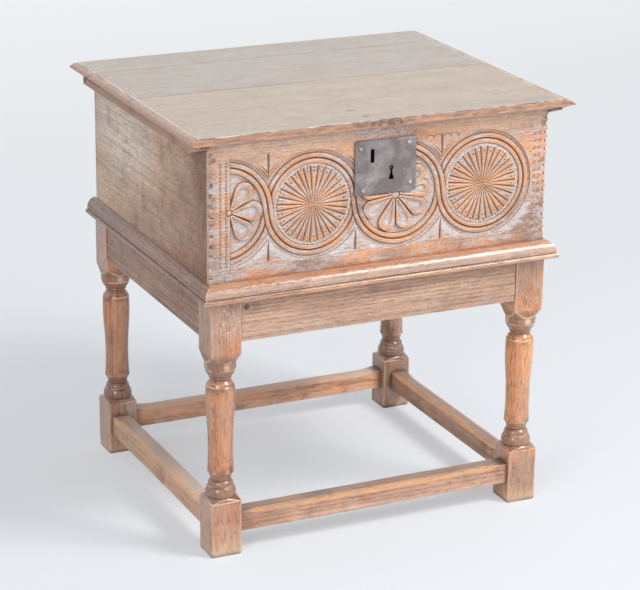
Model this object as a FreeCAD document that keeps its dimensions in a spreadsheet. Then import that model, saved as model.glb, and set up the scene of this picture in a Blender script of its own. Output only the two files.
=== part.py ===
import FreeCAD, Part
import math
import os
from types import SimpleNamespace

import Sketcher

# Oak bible box with a lift-up lid, standing on a joined stand with turned legs.
# Frame: millimetres, +Z up, the front faces -Y, origin on the floor under the middle.

SIZES = (
    # The whole: one outside width serves the stand and the box that it carries.
    ("width", 602.0),
    ("stand_depth", 530.0),
    ("box_depth", 514.0),
    ("box_setback", 7.0),
    ("overrun", 2.0),
    # Legs: square at foot and head, turned between.
    ("leg_height", 455.0),
    ("leg_square", 52.7),
    ("lower_block", 101.0),
    ("lower_shoulder", 7.0),
    ("upper_block", 123.0),
    ("upper_shoulder", 17.5),
    # The turning, from the lower block upwards.
    ("ring_foot_radius", 24.2),
    ("ring_top_radius", 21.7),
    ("ring_height", 16.0),
    ("ring_bulge", 2.0),
    ("fillet_radius", 20.8),
    ("fillet_height", 1.4),
    ("ovolo_top_radius", 16.2),
    ("ovolo_height", 10.1),
    ("ovolo_bulge", 1.6),
    ("low_neck_height", 2.0),
    ("column_base_radius", 17.2),
    ("column_foot_radius", 21.8),
    ("column_foot_height", 11.5),
    ("column_mid_radius", 22.6),
    ("column_waist", 1.9),
    ("column_swell", 1.0),
    ("column_top_radius", 23.3),
    ("cap_radius", 22.4),
    ("cap_height", 1.3),
    ("cap_slope_height", 8.2),
    ("high_neck_radius", 17.2),
    ("high_neck_height", 4.0),
    ("bead_radius", 17.6),
    ("bead_height", 3.5),
    ("bead_bulge", 1.0),
    ("cup_foot_radius", 18.2),
    ("cup_radius", 25.2),
    ("cup_height", 12.5),
    ("cup_bulge", 1.2),
    ("cup_rim_radius", 25.6),
    ("cup_rim_height", 11.5),
    # Aprons and stretchers, tenoned into the legs.
    ("apron_height", 87.0),
    ("apron_thickness", 22.0),
    ("apron_recess", 2.0),
    ("apron_tenon_thickness", 8.0),
    ("apron_tenon_length", 25.0),
    ("apron_tenon_shoulder", 9.0),
    ("stretcher_underside", 37.0),
    ("stretcher_height", 33.5),
    ("stretcher_thickness", 30.5),
    ("stretcher_recess", 6.5),
    ("stretcher_tenon_thickness", 10.0),
    ("stretcher_tenon_length", 20.0),
    ("stretcher_tenon_shoulder", 5.0),
    ("stretcher_chamfer_width", 8.5),
    ("stretcher_chamfer_fall", 4.6),
    ("stretcher_chamfer_stop", 6.0),
    ("stretcher_chamfer_fade", 30.0),
    ("mortise_clearance", 0.1),
    ("mortise_end_room", 2.0),
    # Moulding nailed round the head of the stand; it also traps the box.
    ("moulding_drop", 15.0),
    ("moulding_rise", 14.0),
    ("moulding_projection", 18.0),
    ("moulding_bead", 8.5),
    ("moulding_quirk_height", 1.1),
    ("moulding_quirk_depth", 2.0),
    ("moulding_ovolo_projection", 14.4),
    ("moulding_ovolo_bulge", 4.5),
    # Box boards.
    ("bottom_thickness", 12.0),
    ("board_height", 226.5),
    ("front_thickness", 18.0),
    ("back_thickness", 16.0),
    ("side_thickness", 16.0),
    ("lap_lip", 8.0),
    # Lid: three boards on two cleats that turn on pins in the box sides.
    ("lid_thickness", 15.5),
    ("lid_front_overhang", 25.0),
    ("lid_back_overhang", 22.0),
    ("lid_side_overhang", 36.0),
    ("lid_front_board", 283.0),
    ("lid_middle_board", 188.5),
    ("lid_edge_width", 13.0),
    ("lid_edge_step", 1.2),
    ("lid_nose_drop", 6.2),
    ("lid_nose_height", 1.8),
    ("lid_edge_bulge", 1.9),
    ("lid_under_width", 15.0),
    ("lid_under_hollow", 0.8),
    ("cleat_width", 18.5),
    ("cleat_depth", 18.5),
    ("cleat_clearance", 1.0),
    ("cleat_front_gap", 13.0),
    ("cleat_front_slope", 46.0),
    ("cleat_front_tip", 2.0),
    ("cleat_back_end", 10.0),
    ("hinge_inset", 9.0),
    ("hinge_gap", 0.5),
    ("hinge_pin_radius", 4.0),
    ("hinge_pin_clearance", 0.05),
    ("hinge_pin_chamfer", 0.8),
    # Hand-made nails with square shanks and flat heads let in flush.
    ("nail_square", 3.0),
    ("nail_head_square", 7.0),
    ("nail_head_thickness", 1.5),
    ("lid_nail_length", 29.0),
    ("front_nail_length", 42.0),
    ("back_nail_length", 50.0),
    ("bottom_nail_length", 34.0),
    # Lock plate on the box front, measured from its own middle.
    ("lock_offset", 3.2),
    ("lock_drop", 65.0),
    ("plate_width", 108.5),
    ("plate_height", 89.5),
    ("plate_thickness", 1.6),
    ("slot_offset", 23.4),
    ("slot_foot", 7.3),
    ("slot_width", 7.0),
    ("slot_height", 23.0),
    ("keyhole_offset", 10.6),
    ("keyhole_drop", 3.6),
    ("keyhole_radius", 3.85),
    ("keyhole_neck_width", 3.6),
    ("keyhole_neck_length", 9.0),
    ("keyhole_foot_width", 9.5),
    ("keyhole_foot_height", 1.6),
    ("keyhole_length", 19.6),
    ("lock_nail_radius", 3.3),
    ("lock_nail_head", 2.0),
    ("lock_nail_bevel", 1.2),
    ("lock_nail_length", 13.0),
    # Lock works in the cut-out behind the plate.
    ("works_left", 36.0),
    ("works_right", 41.0),
    ("works_foot", 29.0),
    ("works_head", 31.0),
    ("cap_plate_lap", 6.0),
    ("cap_plate_thickness", 1.5),
    ("cap_nail_square", 2.0),
    ("cap_nail_head", 4.8),
    ("cap_nail_thickness", 1.2),
    ("cap_nail_reach", 9.5),
    ("drill_pin_radius", 1.7),
    ("drill_pin_reach", 1.0),
    ("bolt_tip", 17.0),
    ("bolt_tail", 38.0),
    ("bolt_foot", 8.5),
    ("bolt_height", 12.0),
    ("bolt_thickness", 5.0),
    ("bolt_clearance", 0.3),
    ("talon_offset", 16.2),
    ("talon_width", 9.0),
    ("talon_depth", 6.0),
    ("guide_width", 4.0),
    ("guide_wall", 1.8),
    ("guide_first", 9.0),
    ("guide_last", 26.0),
    ("spring_thickness", 1.2),
    ("spring_width", 4.0),
    ("spring_head", 29.0),
    ("spring_bend", 2.4),
    ("spring_length", 35.0),
    ("spring_back", 14.0),
)

# Heights and places of nails, as shares of the board that they go through.
FRONT_NAIL_SHARES = (0.28, 0.62, 0.89)
BACK_NAIL_SHARES = (0.2, 0.55, 0.82)
BOTTOM_NAIL_SHARES = (0.25, 0.75)
LID_NAIL_SHARES = {
    "front": (0.245, 0.381, 0.69, 0.814),
    "middle": (0.27, 0.36, 0.79, 0.93),
    "back": (0.35,),
}
LOCK_NAIL_SHARES = ((-0.81, 0.71), (0.77, 0.79), (-0.73, -0.84), (0.82, -0.70))
COLUMN_MID_SHARE = 0.625
CHAMFER_END_SHARE = 0.12

# Rise of a quarter arc over its chord, of a worked half round, and of a square's corner.
QUARTER_ARC_SHARE = 1 - math.sqrt(1 / 2)
ROUND_SHARE = 0.98
CORNER_SHARE = math.sqrt(1 / 2)
QUARTER_TURN = 90


class Size:
    """A length in millimetres, kept with the sheet formula that gives it."""

    def __init__(self, formula, value):
        self.formula = formula
        self.value = value

    def __add__(self, other):
        return Size("(%s + %s)" % (self.formula, formula(other)), self.value + number(other))

    def __sub__(self, other):
        return Size("(%s - %s)" % (self.formula, formula(other)), self.value - number(other))

    def __mul__(self, other):
        return Size("(%s * %s)" % (self.formula, formula(other)), self.value * number(other))

    def __truediv__(self, other):
        return Size("(%s / %s)" % (self.formula, formula(other)), self.value / number(other))

    def __neg__(self):
        return Size("(-1 * %s)" % self.formula, -self.value)

    def __radd__(self, other):
        return self + other

    def __rsub__(self, other):
        return -self + other


def number(size):
    """The plain number of a length."""
    return size.value if isinstance(size, Size) else size


def formula(size):
    """The sheet formula of a length."""
    return size.formula if isinstance(size, Size) else repr(size)


def root(size):
    """Square root of a product of lengths."""
    return Size("sqrt(%s)" % size.formula, math.sqrt(size.value))


def bind(thing, path, size):
    """Tie one property of an object or sketch to the sheet."""
    if isinstance(size, Size):
        thing.setExpression(path, size.formula)


document = FreeCAD.newDocument("bible_box_on_stand")


def fill_sheet():
    """Put every driving dimension in a cell and return them by name."""
    sheet = document.addObject("Spreadsheet::Sheet", "sizes")
    named = SimpleNamespace()
    for row, (alias, value) in enumerate(SIZES, start=1):
        cell = "B%d" % row
        sheet.set("A%d" % row, alias)
        sheet.set(cell, str(value))
        sheet.setAlias(cell, alias)
        setattr(named, alias, Size("sizes.%s" % alias, value))
    document.recompute()
    return named


d = fill_sheet()


# Places shared by several pieces.
half_width = d.width / 2
lid_depth = d.lid_front_overhang + d.box_depth + d.lid_back_overhang
lid_front = -lid_depth / 2
lid_back = lid_depth / 2
box_front = lid_front + d.lid_front_overhang
box_back = box_front + d.box_depth
frame_front = box_front - d.box_setback
frame_back = frame_front + d.stand_depth
frame_middle = (frame_front + frame_back) / 2
boards_foot = d.leg_height + d.bottom_thickness
box_top = boards_foot + d.board_height
hinge_drop = d.hinge_inset + d.hinge_gap
hinge_y = box_back - d.hinge_inset
lid_half = half_width + d.lid_side_overhang
cleat_inner = half_width + d.cleat_clearance
bore_radius = d.hinge_pin_radius + d.hinge_pin_clearance
front_nail_across = half_width - d.side_thickness / 2
back_nail_across = half_width - d.side_thickness + d.lap_lip / 2
lock_height = d.board_height - d.lock_drop


# Drawing and shaping.

NORMALS = {"x": ("YZ_Plane", 1), "y": ("XZ_Plane", -1), "z": ("XY_Plane", 1)}


def new_body(label, home=(0, 0, 0), turn=0):
    """A sub-part, placed by its home point and turned about the vertical."""
    body = document.addObject("PartDesign::Body", label)
    body.AllowCompound = True
    body.Label = label
    base = FreeCAD.Vector(*[number(part) for part in home])
    body.Placement = FreeCAD.Placement(base, FreeCAD.Rotation(FreeCAD.Vector(0, 0, 1), turn))
    for axis, part in zip("xyz", home):
        bind(body, "Placement.Base.%s" % axis, part)
    return body


def rectangle(left, right, low, high):
    return [(left, low), (right, low), (right, high), (left, high)]


def square(u, v, side):
    return rectangle(u - side / 2, u + side / 2, v - side / 2, v + side / 2)


def circle(u, v, radius):
    return SimpleNamespace(u=u, v=v, radius=radius)


def pin_point(sketch, edge, end, u, v):
    """Dimension one point of a sketch from the origin."""
    for kind, size in (("DistanceX", u), ("DistanceY", v)):
        rule = Sketcher.Constraint(kind, -1, 1, edge, end, number(size))
        index = sketch.addConstraint(rule)
        bind(sketch, "Constraints[%d]" % index, size)


def arc_radius(start, end, bulge):
    """Radius of the arc that stands bulge clear of its chord."""
    across = end[0] - start[0]
    along = end[1] - start[1]
    radius = (across * across + along * along) / (bulge * 8) + bulge / 2
    return radius if number(bulge) > 0 else -radius


def arc_edge(start, end, bulge):
    """An arc from start to end; a positive bulge lies left of the travel."""
    u0, v0, u1, v1 = [number(part) for part in start[:2] + end[:2]]
    height = number(bulge)
    radius = number(arc_radius(start, end, bulge))
    chord = math.hypot(u1 - u0, v1 - v0)
    reach = height - math.copysign(radius, height)
    middle_u = (u0 + u1) / 2 - (v1 - v0) / chord * reach
    middle_v = (v0 + v1) / 2 + (u1 - u0) / chord * reach
    first = math.atan2(v0 - middle_v, u0 - middle_u)
    last = math.atan2(v1 - middle_v, u1 - middle_u)
    if height > 0:
        first, last = last, first
    if last < first:
        last += 2 * math.pi
    whole = Part.Circle(FreeCAD.Vector(middle_u, middle_v, 0), FreeCAD.Vector(0, 0, 1), radius)
    return Part.ArcOfCircle(whole, first, last)


def draw_circle(sketch, ring):
    centre = FreeCAD.Vector(number(ring.u), number(ring.v), 0)
    edge = sketch.addGeometry(Part.Circle(centre, FreeCAD.Vector(0, 0, 1), number(ring.radius)))
    pin_point(sketch, edge, 3, ring.u, ring.v)
    index = sketch.addConstraint(Sketcher.Constraint("Radius", edge, number(ring.radius)))
    bind(sketch, "Constraints[%d]" % index, ring.radius)


def draw_outline(sketch, points):
    """A closed outline; a point's third value is the bulge of the edge that leaves it."""
    ends = []
    following = points[1:] + points[:1]
    for start, end in zip(points, following):
        if len(start) == 2:
            here = FreeCAD.Vector(number(start[0]), number(start[1]), 0)
            there = FreeCAD.Vector(number(end[0]), number(end[1]), 0)
            edge = sketch.addGeometry(Part.LineSegment(here, there))
            ends.append((edge, 1, 2))
            continue
        edge = sketch.addGeometry(arc_edge(start, end, start[2]))
        ends.append((edge, 2, 1) if number(start[2]) > 0 else (edge, 1, 2))
    for this, after in zip(ends, ends[1:] + ends[:1]):
        sketch.addConstraint(Sketcher.Constraint("Coincident", this[0], this[2], after[0], after[1]))
    for point, (edge, first, _) in zip(points, ends):
        pin_point(sketch, edge, first, point[0], point[1])
    for start, end, (edge, _, _) in zip(points, following, ends):
        if len(start) == 3:
            radius = arc_radius(start, end, start[2])
            index = sketch.addConstraint(Sketcher.Constraint("Radius", edge, number(radius)))
            bind(sketch, "Constraints[%d]" % index, radius)


def new_sketch(body, name, axis, outlines, level=0):
    """A sketch square to an axis of its own body, with closed outlines and circles."""
    role, sign = NORMALS[axis]
    sketch = body.newObject("Sketcher::SketchObject", "%s_%s_sketch" % (body.Label, name))
    plane = [item for item in body.Origin.OriginFeatures if item.Role == role][0]
    sketch.AttachmentSupport = [(plane, "")]
    sketch.MapMode = "FlatFace"
    offset = level * sign
    shift = FreeCAD.Vector(0, 0, number(offset))
    sketch.AttachmentOffset = FreeCAD.Placement(shift, FreeCAD.Rotation())
    bind(sketch, "AttachmentOffset.Base.z", offset)
    for outline in outlines:
        if isinstance(outline, SimpleNamespace):
            draw_circle(sketch, outline)
        else:
            draw_outline(sketch, outline)
    return sketch


def extrude(body, kind, name, axis, outlines, level, length):
    sketch = new_sketch(body, name, axis, outlines, level)
    feature = body.newObject(kind, "%s_%s" % (body.Label, name))
    feature.Profile = sketch
    feature.Length = number(length)
    bind(feature, "Length", length)
    sketch.Visibility = False
    return feature


def add(body, name, axis, outlines, low, high):
    """Material between two levels along an axis of the body."""
    start = low if NORMALS[axis][1] > 0 else high
    return extrude(body, "PartDesign::Pad", name, axis, outlines, start, high - low)


def cut(body, name, axis, outlines, low, high):
    """Take material away between two levels along an axis of the body."""
    start = high if NORMALS[axis][1] > 0 else low
    return extrude(body, "PartDesign::Pocket", name, axis, outlines, start, high - low)


# Stand.

def lathe_waste():
    """What the lathe takes off the square leg, in radius and height."""
    clear = d.leg_square * CORNER_SHARE + d.overrun
    low = d.lower_block
    rising = (
        (clear, low - d.lower_shoulder),
        (d.ring_foot_radius, low, -d.ring_bulge),
    )
    height = low + d.ring_height
    rising += ((d.ring_top_radius, height), (d.fillet_radius, height))
    height = height + d.fillet_height
    rising += ((d.fillet_radius, height, -d.ovolo_bulge),)
    height = height + d.ovolo_height
    rising += ((d.ovolo_top_radius, height),)
    height = height + d.low_neck_height
    rising += ((d.ovolo_top_radius, height), (d.column_base_radius, height))
    column_foot = height + d.column_foot_height

    rim = d.leg_height - d.upper_block
    cup = rim - d.cup_rim_height
    bead_top = cup - d.cup_height
    bead_foot = bead_top - d.bead_height
    slope_top = bead_foot - d.high_neck_height
    cap = slope_top - d.cap_slope_height
    column_top = cap - d.cap_height
    middle = column_foot + (column_top - column_foot) * COLUMN_MID_SHARE
    column = (
        (d.column_foot_radius, column_foot, d.column_waist),
        (d.column_mid_radius, middle, -d.column_swell),
        (d.column_top_radius, column_top),
        (d.cap_radius, cap),
        (d.high_neck_radius, slope_top),
    )
    head = (
        (d.high_neck_radius, bead_foot),
        (d.bead_radius, bead_foot, -d.bead_bulge),
        (d.bead_radius, bead_top),
        (d.cup_foot_radius, bead_top, -d.cup_bulge),
        (d.cup_radius, cup),
        (d.cup_rim_radius, rim),
        (clear, rim + d.upper_shoulder),
    )
    return list(rising + column + head)


def make_leg(label, across, along, turn):
    """One leg, squared, turned, then mortised on its two inner faces."""
    body = new_body(label, (across, along, 0), turn)
    half = d.leg_square / 2
    add(body, "blank", "z", [square(0, 0, d.leg_square)], 0, d.leg_height)
    lathe = body.newObject("PartDesign::Groove", "%s_turning" % label)
    lathe.Profile = new_sketch(body, "turning", "y", [lathe_waste()])
    lathe.ReferenceAxis = (lathe.Profile[0], ["V_Axis"])
    lathe.Angle = QUARTER_TURN * 4
    for rail in (apron_sizes(), stretcher_sizes()):
        near = -half + rail.recess + rail.tenon_side - d.mortise_clearance
        far = near + rail.tenon_thickness + d.mortise_clearance * 2
        low = rail.underside + rail.tenon_shoulder - d.mortise_clearance
        high = rail.underside + rail.height - rail.tenon_shoulder + d.mortise_clearance
        bottom = half - rail.tenon_length - d.mortise_end_room
        opening = [rectangle(near, far, low, high)]
        cut(body, rail.name + "_mortise_x", "x", opening, bottom, half)
        cut(body, rail.name + "_mortise_y", "y", opening, bottom, half)


def apron_sizes():
    return SimpleNamespace(
        name="apron", underside=d.leg_height - d.apron_height, height=d.apron_height,
        thickness=d.apron_thickness, recess=d.apron_recess,
        tenon_side=(d.apron_thickness - d.apron_tenon_thickness) / 2,
        tenon_thickness=d.apron_tenon_thickness, tenon_length=d.apron_tenon_length,
        tenon_shoulder=d.apron_tenon_shoulder)


def stretcher_sizes():
    return SimpleNamespace(
        name="stretcher", underside=d.stretcher_underside, height=d.stretcher_height,
        thickness=d.stretcher_thickness, recess=d.stretcher_recess,
        tenon_side=(d.stretcher_thickness - d.stretcher_tenon_thickness) / 2,
        tenon_thickness=d.stretcher_tenon_thickness, tenon_length=d.stretcher_tenon_length,
        tenon_shoulder=d.stretcher_tenon_shoulder)


def make_rail(label, rail, span, home, turn):
    """A rail with a tenon at each end; its outer face is its local plane y = 0."""
    body = new_body(label, home, turn)
    half = span / 2
    add(body, "rail", "x", [rectangle(0, rail.thickness, 0, rail.height)], -half, half)
    tenon = [rectangle(rail.tenon_side, rail.tenon_side + rail.tenon_thickness,
                       rail.tenon_shoulder, rail.height - rail.tenon_shoulder)]
    add(body, "tenon_left", "x", tenon, -half - rail.tenon_length, -half)
    add(body, "tenon_right", "x", tenon, half, half + rail.tenon_length)
    return body


def chamfer_section(edge, inward, share):
    """Waste over one upper arris of a stretcher, at a share of its full size."""
    top = d.stretcher_height
    inner = edge + d.stretcher_chamfer_width * inward * share
    outer = edge - d.overrun * inward
    low = top - d.stretcher_chamfer_fall * share
    return [(edge, low), (inner, top), (inner, top + d.overrun), (outer, top + d.overrun),
            (outer, low)]


def chamfer_stretcher(body, span, name, edge, inward):
    """Chamfer along an upper arris that fades out towards the legs."""
    stop = span / 2 - d.stretcher_chamfer_stop
    full = stop - d.stretcher_chamfer_fade
    places = ((-stop, CHAMFER_END_SHARE), (-full, 1), (full, 1), (stop, CHAMFER_END_SHARE))
    sections = []
    for index, (place, share) in enumerate(places, start=1):
        outline = chamfer_section(edge, inward, share)
        sections.append(new_sketch(body, "%s_chamfer_%d" % (name, index), "x", [outline], place))
    loft = body.newObject("PartDesign::SubtractiveLoft", "%s_%s_chamfer" % (body.Label, name))
    loft.Profile = sections[0]
    loft.Sections = sections[1:]
    loft.Ruled = True


def make_stand():
    half = d.leg_square / 2
    left, right = -half_width + half, half_width - half
    front, back = frame_front + half, frame_back - half
    make_leg("leg_front_left", left, front, 0)
    make_leg("leg_front_right", right, front, QUARTER_TURN)
    make_leg("leg_back_right", right, back, QUARTER_TURN * 2)
    make_leg("leg_back_left", left, back, QUARTER_TURN * 3)
    wide = d.width - d.leg_square * 2
    deep = d.stand_depth - d.leg_square * 2
    for rail in (apron_sizes(), stretcher_sizes()):
        inset = rail.recess
        places = (
            ("front", wide, (0, frame_front + inset, rail.underside), 0),
            ("back", wide, (0, frame_back - inset, rail.underside), QUARTER_TURN * 2),
            ("left", deep, (-half_width + inset, frame_middle, rail.underside), QUARTER_TURN * 3),
            ("right", deep, (half_width - inset, frame_middle, rail.underside), QUARTER_TURN),
        )
        for side, span, home, turn in places:
            body = make_rail("%s_%s" % (rail.name, side), rail, span, home, turn)
            if rail.name == "stretcher":
                chamfer_stretcher(body, span, "outer", d.stretcher_thickness * 0, 1)
            if rail.name == "stretcher" and side in ("back", "right"):
                chamfer_stretcher(body, span, "inner", d.stretcher_thickness, -1)


def moulding_section(sign, setback):
    """Ovolo over a bead, outwards from the frame face and up from the lower edge.

    With a setback the top laps the head of the frame as far as the box.
    """
    rise = d.moulding_drop + d.moulding_rise
    quirk = d.moulding_bead + d.moulding_quirk_height
    bead_radius = d.moulding_bead / 2
    bead_start = d.moulding_projection - bead_radius
    quirk_in = d.moulding_ovolo_projection - d.moulding_quirk_depth
    nearly_round = bead_radius * ROUND_SHARE
    section = [
        (0, 0), (bead_start, 0, -nearly_round), (bead_start, d.moulding_bead),
        (quirk_in, d.moulding_bead), (quirk_in, quirk),
        (d.moulding_ovolo_projection, quirk, -d.moulding_ovolo_bulge), (0, rise),
    ]
    if setback is not None:
        section += [(-setback, rise), (-setback, d.moulding_drop), (0, d.moulding_drop)]
    return [(point[0] * sign, point[1]) + tuple(bulge * sign for bulge in point[2:])
            for point in section]


def make_mouldings():
    foot = d.leg_height - d.moulding_drop
    rise = d.moulding_drop + d.moulding_rise
    reach = half_width + d.moulding_projection
    beyond = d.moulding_projection + d.overrun
    body = new_body("moulding_front", (0, frame_front, foot))
    add(body, "run", "x", [moulding_section(-1, d.box_setback)], -reach, reach)
    for name, sign in (("left", -1), ("right", 1)):
        mitre = [(half_width * sign, 0), ((half_width + beyond) * sign, -beyond),
                 ((half_width + beyond) * sign, d.box_setback + d.overrun),
                 (half_width * sign, d.box_setback + d.overrun)]
        cut(body, "mitre_" + name, "z", [mitre], -d.overrun, rise + d.overrun)
    for name, sign in (("left", -1), ("right", 1)):
        body = new_body("moulding_" + name, (half_width * sign, frame_front, foot))
        add(body, "run", "y", [moulding_section(sign, None)], -d.moulding_projection, d.stand_depth)
        mitre = [(0, 0), (beyond * sign, -beyond), (-d.overrun * sign, -beyond), (-d.overrun * sign, 0)]
        cut(body, "mitre", "z", [mitre], -d.overrun, rise + d.overrun)


# Nails.

def board_nail(length):
    """A nail with its square head let in flush."""
    return SimpleNamespace(square=d.nail_square, head=d.nail_head_square,
                           thickness=d.nail_head_thickness, length=length)


def nail_levels(kind, top, outward):
    """Ends of the shank and of the head along the nail's own axis."""
    point = top - kind.length * outward
    under = top - kind.thickness * outward
    return ((point, under), (under, top)) if outward > 0 else ((under, point), (top, under))


def nail_group(label, home, axis, places, kind, top, outward):
    """Square nails; outward is the sign of the axis on which the heads lie."""
    body = new_body(label, home)
    shank, head = nail_levels(kind, top, outward)
    add(body, "shanks", axis, [square(u, v, kind.square) for u, v in places], shank[0], shank[1])
    add(body, "heads", axis, [square(u, v, kind.head) for u, v in places], head[0], head[1])


def nail_holes(body, axis, places, kind, top, outward):
    """Holes and head recesses that a group of square nails fills."""
    shank, head = nail_levels(kind, top, outward)
    cut(body, "nail_holes", axis, [square(u, v, kind.square) for u, v in places], shank[0], shank[1])
    cut(body, "nail_heads", axis, [square(u, v, kind.head) for u, v in places], head[0], head[1])


def joint_nail_places(across, shares):
    """Nails at both ends of a board, in width and height."""
    return [(across * sign, d.board_height * share) for sign in (-1, 1) for share in shares]


# Box.

def hinge_waste(pivot, sign):
    """Corner that the swinging lid clears, in depth and height above the boards' foot."""
    top = d.board_height
    centre = top - hinge_drop
    radius = d.hinge_inset
    outer = pivot + radius * sign
    bulge = -radius * QUARTER_ARC_SHARE * sign
    return [(outer, centre, bulge), (pivot, centre + radius), (pivot, top + d.overrun),
            (outer + d.overrun * sign, top + d.overrun), (outer + d.overrun * sign, centre)]


def make_box():
    make_box_front()
    make_box_back()
    for name, sign in (("left", -1), ("right", 1)):
        make_side(name, sign)
    make_bottom()


def make_box_front():
    """Front board, rebated at both ends over the sides and cut out for the lock."""
    home = (0, box_front, boards_foot)
    body = new_body("box_front", home)
    inner = half_width - d.side_thickness
    thick = d.front_thickness
    plan = [(-half_width, 0), (half_width, 0), (half_width, d.lap_lip), (inner, d.lap_lip),
            (inner, thick), (-inner, thick), (-inner, d.lap_lip), (-half_width, d.lap_lip)]
    add(body, "board", "z", [plan], 0, d.board_height)
    places = joint_nail_places(front_nail_across, FRONT_NAIL_SHARES)
    kind = board_nail(d.front_nail_length)
    nail_holes(body, "y", places, kind, 0, -1)
    nail_group("box_front_nails", home, "y", places, kind, 0, -1)
    works = rectangle(d.lock_offset - d.works_left, d.lock_offset + d.works_right,
                      lock_height - d.works_foot, lock_height + d.works_head)
    cut(body, "lock_works", "y", [works], -d.overrun, thick + d.overrun)
    plate_nails = shifted(lock_nail_places(), d.lock_offset, lock_height)
    cut(body, "lock_nail_holes", "y", [square(u, v, d.nail_square) for u, v in plate_nails],
        0, d.lock_nail_length - d.plate_thickness)
    cap_nails = shifted(cap_nail_places(), d.lock_offset, lock_height)
    cut(body, "cap_nail_holes", "y", [square(u, v, d.cap_nail_square) for u, v in cap_nails],
        thick + d.cap_plate_thickness - d.cap_nail_reach, thick)


def make_box_back():
    """Back board, housed in rebates of the sides and nailed from behind."""
    home = (0, box_back, boards_foot)
    body = new_body("box_back", home, QUARTER_TURN * 2)
    reach = half_width - d.side_thickness + d.lap_lip
    add(body, "board", "z", [rectangle(-reach, reach, 0, d.back_thickness)], 0, d.board_height)
    cut(body, "lid_sweep", "x", [hinge_waste(d.hinge_inset, -1)], -reach - d.overrun,
        reach + d.overrun)
    bore = circle(d.hinge_inset, d.board_height - hinge_drop, bore_radius)
    depth = d.lap_lip + d.mortise_end_room
    cut(body, "pin_bore_left", "x", [bore], reach - depth, reach)
    cut(body, "pin_bore_right", "x", [bore], -reach, -reach + depth)
    places = joint_nail_places(back_nail_across, BACK_NAIL_SHARES)
    kind = board_nail(d.back_nail_length)
    nail_holes(body, "y", places, kind, 0, -1)
    nail_group("box_back_nails", home, "y", places, kind, 0, 1)


def make_side(name, sign):
    """Side board, rebated inside at the back; its outer face is local x = 0."""
    body = new_body("box_side_" + name, (half_width * sign, 0, boards_foot))
    inner = -d.side_thickness * sign
    low, high = (0, inner) if sign < 0 else (inner, 0)
    ear = -(d.side_thickness - d.lap_lip) * sign
    beyond = -(d.side_thickness + d.overrun) * sign
    plan = rectangle(box_front + d.lap_lip, box_back, 0, d.board_height)
    add(body, "board", "x", [plan], low, high)
    rebate = rectangle(ear, beyond, box_back - d.back_thickness, box_back + d.overrun)
    cut(body, "back_rebate", "z", [rebate], -d.overrun, d.board_height + d.overrun)
    cut(body, "lid_sweep", "x", [hinge_waste(hinge_y, 1)], low - d.overrun, high + d.overrun)
    bore = circle(hinge_y, d.board_height - hinge_drop, bore_radius)
    cut(body, "pin_bore", "x", [bore], low - d.overrun, high + d.overrun)
    across = (front_nail_across - half_width) * sign
    holes = [square(across, d.board_height * share, d.nail_square) for share in FRONT_NAIL_SHARES]
    cut(body, "front_nail_holes", "y", holes, box_front, box_front + d.front_nail_length)
    across = (back_nail_across - half_width) * sign
    holes = [square(across, d.board_height * share, d.nail_square) for share in BACK_NAIL_SHARES]
    cut(body, "back_nail_holes", "y", holes, box_back - d.back_nail_length, box_back)
    across = (front_nail_across - half_width) * sign
    holes = [square(across, depth, d.nail_square) for depth in bottom_nail_depths()]
    cut(body, "bottom_nail_holes", "z", holes, -d.overrun,
        d.bottom_nail_length - d.bottom_thickness)


def bottom_nail_depths():
    """Two nails into each side from each of the two bottom boards."""
    half = d.box_depth / 2
    return [box_front + half * board + half * share
            for board in (0, 1) for share in BOTTOM_NAIL_SHARES]


def make_bottom():
    """Two boards, nailed up into the sides."""
    half = d.box_depth / 2
    home = (0, 0, d.leg_height)
    kind = board_nail(d.bottom_nail_length)
    depths = bottom_nail_depths()
    places = [(front_nail_across * sign, depth) for depth in depths for sign in (-1, 1)]
    each = len(places) // 2
    for index, name in enumerate(("front", "back")):
        body = new_body("box_bottom_" + name, home)
        start = box_front + half * index
        add(body, "board", "z", [rectangle(-half_width, half_width, start, start + half)],
            0, d.bottom_thickness)
        nail_holes(body, "z", places[each * index:each * (index + 1)], kind, 0, -1)
    nail_group("box_bottom_nails", home, "z", places, kind, 0, -1)


# Lock.

def shifted(places, across, up):
    return [(u + across, v + up) for u, v in places]


def lock_nail_places():
    """Domed nails near the corners of the plate."""
    return [(d.plate_width / 2 * u, d.plate_height / 2 * v) for u, v in LOCK_NAIL_SHARES]


def cap_nail_places():
    """Small nails halfway along each edge of the cap."""
    lap = d.cap_plate_lap / 2
    middle_u = (d.works_right - d.works_left) / 2
    middle_v = (d.works_head - d.works_foot) / 2
    return [(-d.works_left - lap, middle_v), (d.works_right + lap, middle_v),
            (middle_u, -d.works_foot - lap), (middle_u, d.works_head + lap)]


def keyhole_outline():
    """Round head over a narrow neck that spreads to a wider foot."""
    u, v = d.keyhole_offset, -d.keyhole_drop
    radius = d.keyhole_radius
    neck = d.keyhole_neck_width / 2
    foot = d.keyhole_foot_width / 2
    reach = root(radius * radius - neck * neck)
    neck_foot = v - d.keyhole_neck_length
    bottom = v - d.keyhole_length
    corner = bottom + d.keyhole_foot_height
    return [(u + neck, v - reach), (u + neck, neck_foot), (u + foot, corner),
            (u + foot, bottom), (u - foot, bottom), (u - foot, corner),
            (u - neck, neck_foot), (u - neck, v - reach, radius + reach)]


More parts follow.
